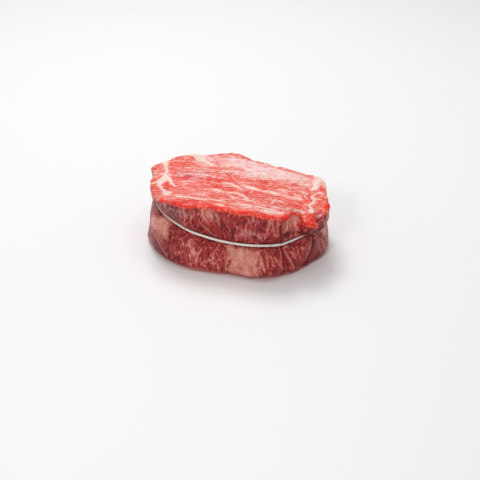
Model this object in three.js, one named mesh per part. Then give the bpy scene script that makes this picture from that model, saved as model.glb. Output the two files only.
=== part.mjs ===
// A raw beef ribeye steak, cut thick and tied once round its side with a white butcher's string.
// Units are millimetres and +Z is up. The steak lies on a cut face, with the middle of its
// footprint at the origin. +X runs along its length, and -Y is the side that faces the viewer.
//
// The steak is one closed skin. Columns stand all round it at even angles, and each column is a
// profile that runs from the middle of the underside, out round the foot, up the side past the
// string's groove, over the rim and in to the middle of the upper cut face.

import * as THREE from "three";

// Driving dimensions

const COLUMNS = 128; // profiles round the steak
const CURVE_STEPS = 24; // points read along each span of an outline
const MIDDLE_HEIGHT = 53; // upper cut face above the lower one, at the middle
const FOOT_ROUND = 4; // radius that the meat sags to at its lower edge
const RIM_ROUND = 2.4; // radius of the upper cut edge
const FACE_SAG = 2.2; // power by which the upper face falls from the middle to the rim

const STRING_RADIUS = 1.2; // cotton string, 2.4 mm thick
const STRING_GAP = 0.3; // clearance between the string and the meat
const STRING_SIDES = 8;
const GROOVE_FLOOR = 0.95; // half height of the groove's floor under the string
const GROOVE_LIP = 2.4; // half height of the narrow slot that the string cuts
const GROOVE_RINGS = [GROOVE_LIP, 1.8, GROOVE_FLOOR]; // rings on each side of the groove
const SLOT_DEPTH = 1.6; // depth of that slot
const SQUEEZE_REACH = 6.5; // how far above and below the string the meat is drawn in

const SWELL_ABOVE = 1.2; // how far the meat swells between the string and the rim

// The rim of the upper cut face, seen from above, anticlockwise: x, y and the rim's own height.
// The muscle's end lobe and the two fat seams that nick the edge are at the left, and the face
// droops at the right front corner. The back edge is cut raggedly, in shallow steps.
const RIM = [
  [-71, 1, 51],
  [-70, -13, 50.5],
  [-62, -26, 52],
  [-52, -32, 53.5],
  [-44, -38.5, 54],
  [-28, -40, 54.5],
  [-16, -44, 54.5],
  [2, -51.5, 54.5],
  [10, -52, 54.5],
  [24, -57, 53.5],
  [32, -56, 52],
  [40, -51, 50],
  [48, -52.5, 47],
  [56, -51, 44],
  [64, -45, 43.5],
  [70, -34, 45.5],
  [72.5, -20, 47],
  [70, -5, 48.5],
  [69.5, 9, 49],
  [63, 21, 49],
  [51, 29.5, 49.5],
  [43, 32.5, 50],
  [37.5, 37, 50.3],
  [32.5, 38, 50.5],
  [26, 41, 50.7],
  [20, 46, 50.9],
  [13.5, 49.5, 51],
  [7, 54, 51.6],
  [2.5, 59, 52],
  [-7, 62.5, 52.5],
  [-16, 60.6, 52.7],
  [-23, 58.8, 53],
  [-31, 55.5, 53],
  [-37, 58.5, 53],
  [-45.5, 54.6, 52.8],
  [-54, 52, 52.5],
  [-61.5, 45, 52],
  [-74, 38, 51],
  [-70, 23, 51],
  [-72.5, 11, 51],
];

// The line of the meat at its lower edge: x, y and how far the side above it swells between
// the foot and the string. At both ends of the steak the side is drawn in there instead.
const FOOT = [
  [-75.5, -1, -1.2],
  [-68.5, -18.5, 0],
  [-60.5, -30.5, 1.2],
  [-50, -39.5, 1.6],
  [-36, -48, 1.8],
  [-15, -53.5, 1.8],
  [-3, -56, 1.8],
  [12, -62, 1.6],
  [30, -60.5, 1.6],
  [37, -55, 1.4],
  [49, -48, 1],
  [57, -39, 0.4],
  [66, -30, -0.6],
  [73, -17, -1],
  [74, -4, -0.6],
  [72, 11, 0.4],
  [64, 23, 1.4],
  [47, 35, 1.8],
  [27, 47, 1.8],
  [4, 58, 1.8],
  [-18, 61, 1.8],
  [-40, 57, 1.8],
  [-60, 48, 1.4],
  [-72, 33, 0.4],
  [-75, 15, -0.6],
];

// The string's centreline. It is pulled tight, so it bulges outward all the way round, and it
// rides higher at the left end and at the back than in front.
const STRING = [
  [-67.5, 3, 37],
  [-64, -11, 37.5],
  [-57, -23.5, 36],
  [-49, -31.5, 34],
  [-40, -37.5, 31.3],
  [-32, -40.5, 29.3],
  [-20, -44.8, 27.4],
  [-8, -49, 26.6],
  [7, -53.5, 26.8],
  [20.5, -55, 27.2],
  [31.5, -53, 27],
  [40.5, -48, 27.5],
  [54, -38.5, 30],
  [61.5, -30, 32],
  [67, -18, 33],
  [68.5, -3, 33.5],
  [66, 10, 34],
  [58, 21.5, 34.5],
  [44, 31, 35],
  [24, 42.5, 35.7],
  [3, 52.5, 36],
  [-14, 56, 36.3],
  [-34, 52.5, 36.5],
  [-54, 45, 36.7],
  [-66.5, 33, 36.7],
  [-69, 18, 36.8],
];

// Swellings of the side: angle in degrees, height, half width round and up, and how far out.
const LUMPS = [
  { angle: -38, height: 38, round: 9, up: 4.5, out: 2.8 },
  { angle: -66, height: 8, round: 9, up: 6, out: 1.4 },
  { angle: -12, height: 17, round: 7, up: 7, out: 1.5 },
  { angle: -100, height: 42, round: 14, up: 6, out: 0.9 },
  { angle: 48, height: 16, round: 13, up: 8, out: 1.6 },
  { angle: 128, height: 18, round: 12, up: 9, out: 1.2 },
];

// Upright folds that the string gathers: how many go round, their depth, and where they start.
const FOLDS = [
  { count: 13, depth: 0.4, turn: 0.6 },
  { count: 20, depth: 0.42, turn: 2.1 },
  { count: 29, depth: 0.3, turn: 4.4 },
];
const FOLD_START = 4.4; // distance from the string at which the folds reach their full depth
const FOLD_REACH = 10; // and how far from it they fade out
const FOLD_REST = 0.35; // share of a fold's depth that is left far from the string

// Low waves of the upper face, where the knife drew the muscle's fibres along: the way each runs
// across the face in degrees, its length, its height and where it starts.
const WAVES = [
  { across: 74, length: 31, height: 0.3, turn: 0.4 },
  { across: 82, length: 19, height: 0.22, turn: 2.9 },
  { across: 15, length: 47, height: 0.25, turn: 1.2 },
];
const WAVE_FADE = 6; // power by which the waves fade out toward the rim

// Heights of the profile's rings, as shares of the stretch that each list covers.
const UNDERSIDE = [0.3, 0.6, 0.85]; // of the foot's radius
const FOOT_TURN = [0, 0.35, 0.7, 1]; // of the quarter turn round the foot
const LOWER_SIDE = [0.16, 0.34, 0.52, 0.7, 0.86]; // from the foot to the groove
const UPPER_SIDE = [0.16, 0.34, 0.52, 0.7, 0.86]; // from the groove to the rim
const RIM_TURN = [0, 0.33, 0.67, 1]; // of the quarter turn over the rim
const UPPER_FACE = [0.95, 0.88, 0.79, 0.69, 0.58, 0.47, 0.35, 0.23, 0.11]; // of the rim's radius

const mix = THREE.MathUtils.lerp;
const smooth = THREE.MathUtils.smoothstep;

// A closed smooth curve through points, read by angle about the Z axis. Every ray from the axis
// meets it once. Gives a function from an angle to the curve's distance from the axis there and
// the third value of its points.
function readByAngle(points) {
  const curve = new THREE.CatmullRomCurve3(
    points.map(([x, y, third]) => new THREE.Vector3(x, y, third)),
    true,
    "centripetal",
  );
  const places = curve
    .getPoints(points.length * CURVE_STEPS)
    .slice(1)
    .map((p) => ({
      angle: Math.atan2(p.y, p.x),
      radius: Math.hypot(p.x, p.y),
      third: p.z,
    }))
    .sort((a, b) => a.angle - b.angle);
  const first = places[0];
  const last = places[places.length - 1];
  places.unshift({ ...last, angle: last.angle - 2 * Math.PI });
  places.push({ ...first, angle: first.angle + 2 * Math.PI });

  return (angle) => {
    const next = places.findIndex((p) => p.angle > angle);
    const [a, b] = [places[next - 1], places[next]];
    const share = (angle - a.angle) / (b.angle - a.angle);
    return [mix(a.radius, b.radius, share), mix(a.third, b.third, share)];
  };
}

const rimAt = readByAngle(RIM);
const footAt = readByAngle(FOOT);
const stringAt = readByAngle(STRING);

// How far the folds and lumps push the side out at an angle and height.
function relief(angle, height, fromString) {
  const gathered = mix(FOLD_REST, 1, Math.exp(-fromString / FOLD_REACH));
  const folds = FOLDS.reduce(
    (sum, f) => sum + f.depth * Math.sin(f.count * angle + f.turn),
    0,
  );
  const lumps = LUMPS.reduce((sum, lump) => {
    const away = THREE.MathUtils.radToDeg(angle) - lump.angle;
    const round = (((away + 540) % 360) - 180) / lump.round;
    const up = (height - lump.height) / lump.up;
    return sum + lump.out * Math.exp(-round * round - up * up);
  }, 0);
  return gathered * folds + lumps;
}

// Distance of the side from the axis at an angle and height, before its edges are rounded. The
// string draws the meat in over a wide reach, and cuts a narrow slot of its own at its height.
function sideRadius(angle, height) {
  const [rimRadius, rimHeight] = rimAt(angle);
  const [footRadius, swellBelow] = footAt(angle);
  const [stringRadius, stringHeight] = stringAt(angle);
  const body = (z) => mix(footRadius, rimRadius, smooth(z, 0, rimHeight));
  const fromString = Math.abs(height - stringHeight);
  const past = Math.max(0, fromString - GROOVE_FLOOR);

  const floor = stringRadius - STRING_RADIUS - STRING_GAP;
  const depth = body(stringHeight) - floor;
  const drawnIn =
    (depth - SLOT_DEPTH) * Math.exp(-past / SQUEEZE_REACH) +
    SLOT_DEPTH * (1 - smooth(fromString, GROOVE_FLOOR, GROOVE_LIP));

  const above = height > stringHeight;
  const reach = above ? rimHeight - stringHeight : stringHeight;
  const swell =
    (above ? SWELL_ABOVE : swellBelow) *
    Math.sin(Math.PI * Math.min(1, past / reach));
  const free = smooth(fromString, GROOVE_FLOOR, FOLD_START);
  return (
    body(height) - drawnIn + swell + free * relief(angle, height, fromString)
  );
}

// Height of the waves at a place on the upper face.
function faceWave(x, y) {
  return WAVES.reduce((sum, wave) => {
    const across = THREE.MathUtils.degToRad(wave.across);
    const along = x * Math.cos(across) + y * Math.sin(across);
    const turn = (2 * Math.PI * along) / wave.length + wave.turn;
    return sum + wave.height * Math.sin(turn);
  }, 0);
}

// One column: its points from the foot of the underside to the last ring of the upper face.
function profile(angle) {
  const [, rimHeight] = rimAt(angle);
  const [, stringHeight] = stringAt(angle);
  const rings = [];
  const add = (radius, height) =>
    rings.push(
      new THREE.Vector3(
        radius * Math.cos(angle),
        radius * Math.sin(angle),
        height,
      ),
    );

  const footRadius = sideRadius(angle, FOOT_ROUND);
  const flat = footRadius - FOOT_ROUND;
  UNDERSIDE.forEach((share) => add(flat * share, 0));
  FOOT_TURN.forEach((share) => {
    const turn = (share * Math.PI) / 2;
    add(
      flat + FOOT_ROUND * Math.sin(turn),
      FOOT_ROUND * (1 - Math.cos(turn)),
    );
  });

  const side = (height) => add(sideRadius(angle, height), height);
  LOWER_SIDE.forEach((share) =>
    side(mix(FOOT_ROUND, stringHeight - GROOVE_LIP, share)),
  );
  GROOVE_RINGS.forEach((offset) => side(stringHeight - offset));
  GROOVE_RINGS.toReversed().forEach((offset) => side(stringHeight + offset));
  const shoulder = rimHeight - RIM_ROUND;
  UPPER_SIDE.forEach((share) =>
    side(mix(stringHeight + GROOVE_LIP, shoulder, share)),
  );

  const edge = sideRadius(angle, shoulder);
  RIM_TURN.forEach((share) => {
    const turn = (share * Math.PI) / 2;
    add(
      edge - RIM_ROUND * (1 - Math.cos(turn)),
      shoulder + RIM_ROUND * Math.sin(turn),
    );
  });
  UPPER_FACE.forEach((share) => {
    const radius = (edge - RIM_ROUND) * share;
    const wave = faceWave(radius * Math.cos(angle), radius * Math.sin(angle));
    const fade = 1 - share ** WAVE_FADE;
    add(radius, mix(MIDDLE_HEIGHT, rimHeight, share ** FACE_SAG) + wave * fade);
  });
  return rings;
}

// Joins columns of points into one closed skin. Neighbouring columns are joined by squares of two
// triangles, and the last column to the first. With poles, a point closes each end of the
// columns, and without them each column closes on itself.
function skin(columns, poles) {
  const count = columns.length;
  const rings = columns[0].length;
  const vertices = columns.flat();
  const faces = [];
  const at = (column, ring) => (column % count) * rings + (ring % rings);
  for (let c = 0; c < count; c++) {
    for (let r = 0; r < (poles ? rings - 1 : rings); r++) {
      faces.push([at(c, r), at(c + 1, r), at(c + 1, r + 1)]);
      faces.push([at(c, r), at(c + 1, r + 1), at(c, r + 1)]);
    }
  }
  if (poles) {
    const [bottom, top] = poles;
    const low = vertices.push(bottom) - 1;
    const high = vertices.push(top) - 1;
    for (let c = 0; c < count; c++) {
      faces.push([low, at(c + 1, 0), at(c, 0)]);
      faces.push([high, at(c, rings - 1), at(c + 1, rings - 1)]);
    }
  }
  const geometry = new THREE.BufferGeometry().setFromPoints(vertices);
  geometry.setIndex(faces.flat());
  geometry.computeVertexNormals();
  return geometry;
}

const angles = Array.from(
  { length: COLUMNS },
  (_, column) => -Math.PI + ((column + 0.5) / COLUMNS) * 2 * Math.PI,
);

function steakGeometry() {
  return skin(angles.map(profile), [
    new THREE.Vector3(0, 0, 0),
    new THREE.Vector3(0, 0, MIDDLE_HEIGHT + faceWave(0, 0)),
  ]);
}

// The string: a round section carried round the groove, upright in each column.
function stringGeometry() {
  const section = (angle) => {
    const [stringRadius, stringHeight] = stringAt(angle);
    return Array.from({ length: STRING_SIDES }, (_, side) => {
      const turn = ((side + 0.5) / STRING_SIDES) * 2 * Math.PI;
      const radius = stringRadius + STRING_RADIUS * Math.cos(turn);
      return new THREE.Vector3(
        radius * Math.cos(angle),
        radius * Math.sin(angle),
        stringHeight + STRING_RADIUS * Math.sin(turn),
      );
    });
  };
  return skin(angles.map(section), null);
}

const steak = new THREE.Mesh(
  steakGeometry(),
  new THREE.MeshStandardMaterial({
    color: 0xb4403c,
    roughness: 0.35,
    metalness: 0,
  }),
);
steak.name = "steak";

const string = new THREE.Mesh(
  stringGeometry(),
  new THREE.MeshStandardMaterial({
    color: 0xe4dfd3,
    roughness: 0.9,
    metalness: 0,
  }),
);
string.name = "string";

const tiedSteak = new THREE.Group();
tiedSteak.add(steak, string);

// The footprint's middle goes to the origin.
const middle = new THREE.Box3()
  .setFromObject(tiedSteak)
  .getCenter(new THREE.Vector3());
tiedSteak.position.set(-middle.x, -middle.y, 0);

export default tiedSteak;
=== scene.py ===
"""Dresses a raw beef ribeye steak that lies on a cut face, tied round its side with white string.

The steak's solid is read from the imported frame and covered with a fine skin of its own, which gets
the meat's folds, fibres and seams of fat as relief, and marks for its finish. The string is laid
again as a cord of three twisted plies. All sizes here are in millimetres until they reach a mesh.
"""

import logging
import math
from collections.abc import Callable
from dataclasses import dataclass
from enum import Enum
from itertools import pairwise

import bpy
import numpy as np
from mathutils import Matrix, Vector
from mathutils.bvhtree import BVHTree
from numpy.typing import NDArray


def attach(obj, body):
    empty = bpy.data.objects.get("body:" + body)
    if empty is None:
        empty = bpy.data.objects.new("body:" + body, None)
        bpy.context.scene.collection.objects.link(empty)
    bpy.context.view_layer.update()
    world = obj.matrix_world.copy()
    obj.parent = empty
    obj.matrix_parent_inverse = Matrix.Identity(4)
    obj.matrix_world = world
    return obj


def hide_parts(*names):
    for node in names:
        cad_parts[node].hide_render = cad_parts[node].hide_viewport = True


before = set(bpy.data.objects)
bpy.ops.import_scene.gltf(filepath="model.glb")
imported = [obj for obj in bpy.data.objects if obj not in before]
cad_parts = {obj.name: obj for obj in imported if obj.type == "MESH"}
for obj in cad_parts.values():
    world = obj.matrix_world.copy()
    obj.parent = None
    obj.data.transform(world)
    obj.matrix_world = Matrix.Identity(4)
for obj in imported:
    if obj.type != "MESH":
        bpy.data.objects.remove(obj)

Array = NDArray[np.float64]
Numbers = NDArray[np.int64]
Colour = tuple[float, float, float]

LOG = logging.getLogger("tied_steak")
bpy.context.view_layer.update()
MM = 0.001
BODY = "root"
# How far from a seam or an area its depth is worked out, in mm.
FAR = 8.0


def smoothstep(value: Array, low: float, high: float) -> Array:
    """Goes smoothly from 0 at low to 1 at high.

    Args:
        value: The numbers to grade.
        low: Where the result leaves 0.
        high: Where the result reaches 1.

    Returns:
        The graded numbers.
    """
    share = np.clip((value - low) / (high - low), 0.0, 1.0)
    return share * share * (3.0 - 2.0 * share)


def mix(first: Array, second: Array, share: Array) -> Array:
    """Blends first into second by share."""
    return first + (second - first) * share


def along(path: Array) -> Array:
    """Measures how far along a path each of its points lies."""
    return np.append(0.0, np.cumsum(np.linalg.norm(np.diff(path, axis=0), axis=1)))


class Noise:
    """Smooth seeded noise in space, from about -1 to 1."""

    CELLS = 64
    GAIN = 1.6

    def __init__(self, seed: int) -> None:
        """Draws the lattice's slopes.

        Args:
            seed: Seed of the draw.
        """
        draw = np.random.default_rng(seed)
        slopes = draw.normal(size=(self.CELLS, self.CELLS, self.CELLS, 3))
        self.slopes = slopes / np.linalg.norm(slopes, axis=-1, keepdims=True)

    def at(self, places: Array, size: float | tuple[float, float, float]) -> Array:
        """Reads the noise.

        Args:
            places: Points, one row each.
            size: Width of one swell, or its widths along X, Y and Z.

        Returns:
            One number for each point.
        """
        scaled = places / np.asarray(size)
        cell = np.floor(scaled).astype(int)
        part = scaled - cell
        fade = part**3 * (part * (part * 6.0 - 15.0) + 10.0)
        total = np.zeros(len(places))
        for corner in np.ndindex(2, 2, 2):
            lattice = (cell + corner) % self.CELLS
            slope = self.slopes[lattice[:, 0], lattice[:, 1], lattice[:, 2]]
            rise = np.einsum("ij,ij->i", slope, part - corner)
            weight = np.prod(np.where(corner, fade, 1.0 - fade), axis=1)
            total += rise * weight
        return total * self.GAIN


def rounded(knots: Array, steps: int) -> Array:
    """Draws a smooth line through knots.

    Args:
        knots: The knots, with one more before the first and one after the last.
        steps: How many points each span gets.

    Returns:
        The line's points, up to just before its last knot.
    """
    share = np.linspace(0.0, 1.0, steps, endpoint=False)[:, None]
    spans = []
    for a, b, c, d in zip(knots, knots[1:], knots[2:], knots[3:]):
        bend = 2 * a - 5 * b + 4 * c - d
        twist = 3 * (b - c) + d - a
        spans.append(b + 0.5 * share * (c - a + share * (bend + share * twist)))
    return np.vstack(spans)


def near(places: Array, course: Array) -> NDArray[np.bool_]:
    """Tells which places lie in the box round a course or close to it."""
    low = course[:, :2].min(axis=0) - FAR
    high = course[:, :2].max(axis=0) + FAR
    return np.all((places > low) & (places < high), axis=1)


def gap_to(places: Array, start: Array, end: Array) -> tuple[Array, Array]:
    """Measures how far places lie from a straight line.

    Args:
        places: The places, one row each.
        start: The line's start.
        end: The line's end.

    Returns:
        Their distances from the line, and how far along it they lie as a share of it.
    """
    run = end[:2] - start[:2]
    offset = places - start[:2]
    share = np.clip(offset @ run / max(run @ run, 1e-9), 0.0, 1.0)
    return np.linalg.norm(offset - share[:, None] * run, axis=1), share


@dataclass(frozen=True)
class Seam:
    """A line on a surface, such as a seam of fat or a crease.

    Attributes:
        points: Its course as places on the surface and its width there, in mm.
    """

    points: tuple[tuple[float, float, float], ...]

    STEPS = 5

    def reach(self, places: Array) -> Array:
        """Tells how far inside the line each place lies.

        Args:
            places: Places on the same surface, one row each.

        Returns:
            Depth inside the line's edge in mm, below 0 outside it.
        """
        knots = np.array([self.points[0], *self.points, self.points[-1]])
        course = np.vstack([rounded(knots, self.STEPS), knots[-1:]])
        best = np.full(len(places), -FAR)
        chosen = near(places, course)
        depth = best[chosen]
        for start, end in pairwise(course):
            gap, share = gap_to(places[chosen], start, end)
            half_width = 0.5 * (start[2] + (end[2] - start[2]) * share)
            depth = np.maximum(depth, half_width - gap)
        best[chosen] = depth
        return best


@dataclass(frozen=True)
class Island:
    """A closed area on a surface, such as a body of fat.

    Attributes:
        points: Places round its edge, in mm.
    """

    points: tuple[tuple[float, float], ...]

    STEPS = 3

    def reach(self, places: Array) -> Array:
        """Tells how far inside the area each place lies.

        Args:
            places: Places on the same surface, one row each.

        Returns:
            Depth inside the area's edge in mm, below 0 outside it.
        """
        course = rounded(np.array([self.points[-1], *self.points, *self.points[:2]]), self.STEPS)
        best = np.full(len(places), -FAR)
        chosen = near(places, course)
        x, y = places[chosen].T
        gap = -best[chosen]
        inside = np.zeros(len(gap), bool)
        for start, end in pairwise([*course, course[0]]):
            gap = np.minimum(gap, gap_to(places[chosen], start, end)[0])
            lean = (end[0] - start[0]) / (end[1] - start[1]) if end[1] != start[1] else 0.0
            crosses = (start[1] > y) != (end[1] > y)
            inside ^= crosses & (x < start[0] + lean * (y - start[1]))
        best[chosen] = np.where(inside, gap, -gap)
        return best


@dataclass(frozen=True)
class Patch:
    """A soft oval area on a surface.

    Attributes:
        middle: Its middle on the surface, in mm.
        halves: Half its length and half its width, in mm.
        turn: How far its length is turned from the first axis, in degrees.
        strength: How strong it is at its middle.
    """

    middle: tuple[float, float]
    halves: tuple[float, float]
    turn: float = 0.0
    strength: float = 1.0

    def weight(self, places: Array) -> Array:
        """Tells how strong the patch is at each place."""
        offset = places - np.array(self.middle)
        angle = math.radians(self.turn)
        along = offset @ np.array([math.cos(angle), math.sin(angle)]) / self.halves[0]
        across = offset @ np.array([-math.sin(angle), math.cos(angle)]) / self.halves[1]
        return self.strength * np.exp(-(along**2) - across**2)


class Mark(Enum):
    """What is marked on the meat's skin for its finish. The value is the mark's name there."""

    FAT = "fat"
    VEIN = "vein"
    CREASE = "crease"
    PALE_AND_SHEEN = "pale"
    RED = "red"
    PLUM = "plum"
    WEB = "web"
    DEEP = "deep"
    SIDE = "side"
    EDGE = "edge"
    GRAIN = "grain"
    LEAN = "lean"


@dataclass(frozen=True)
class Markings:
    """The fat, streaks and colours of one surface of the meat.

    Attributes:
        fat: Seams and bodies of solid fat.
        veins: Fainter lines of fat and membrane.
        blood: Lines of deep, wet red.
        creases: Lines along which the surface is folded in, and darkened in colour as painted shade.
        pale: Areas that are pale: on the cut face mostly a painted sheen of the light from behind, on the side pale
            membrane and fat.
        red: Areas of strong orange red.
        plum: Areas that are purplish: dark, dried flesh on the side; on the cut face partly a painted cool sheen.
        webs: Areas with a fine net of pale lines; on the cut face its pale specks are partly painted glints.
        deep: Areas that are a good deal darker: darker flesh, and painted shade under the lobe and the membrane at
            the right front.
        rims: Areas as bright as the front rim, partly a painted glow of light through the flesh.
    """

    fat: tuple[Seam | Island, ...]
    veins: tuple[Seam, ...]
    blood: tuple[Seam, ...]
    creases: tuple[Seam, ...]
    pale: tuple[Patch, ...]
    red: tuple[Patch, ...]
    plum: tuple[Patch, ...]
    webs: tuple[Patch, ...]
    deep: tuple[Patch, ...]
    rims: tuple[Patch, ...]

    def depth(self, seams: tuple[Seam | Island, ...], places: Array) -> Array:
        """Tells how far inside the nearest of some seams each place lies."""
        return np.maximum.reduce([seam.reach(places) for seam in seams])

    def strength(self, patches: tuple[Patch, ...], places: Array) -> Array:
        """Tells how strong some patches are together at each place, up to 1."""
        return np.minimum(sum(patch.weight(places) for patch in patches), 1.0)

    def redness(self, places: Array) -> Array:
        """Tells how red each place is, in a red area or along a line of blood."""
        lines = smoothstep(self.depth(self.blood, places), -1.3, 0.7)
        return np.maximum(self.strength(self.red, places), lines)


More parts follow.
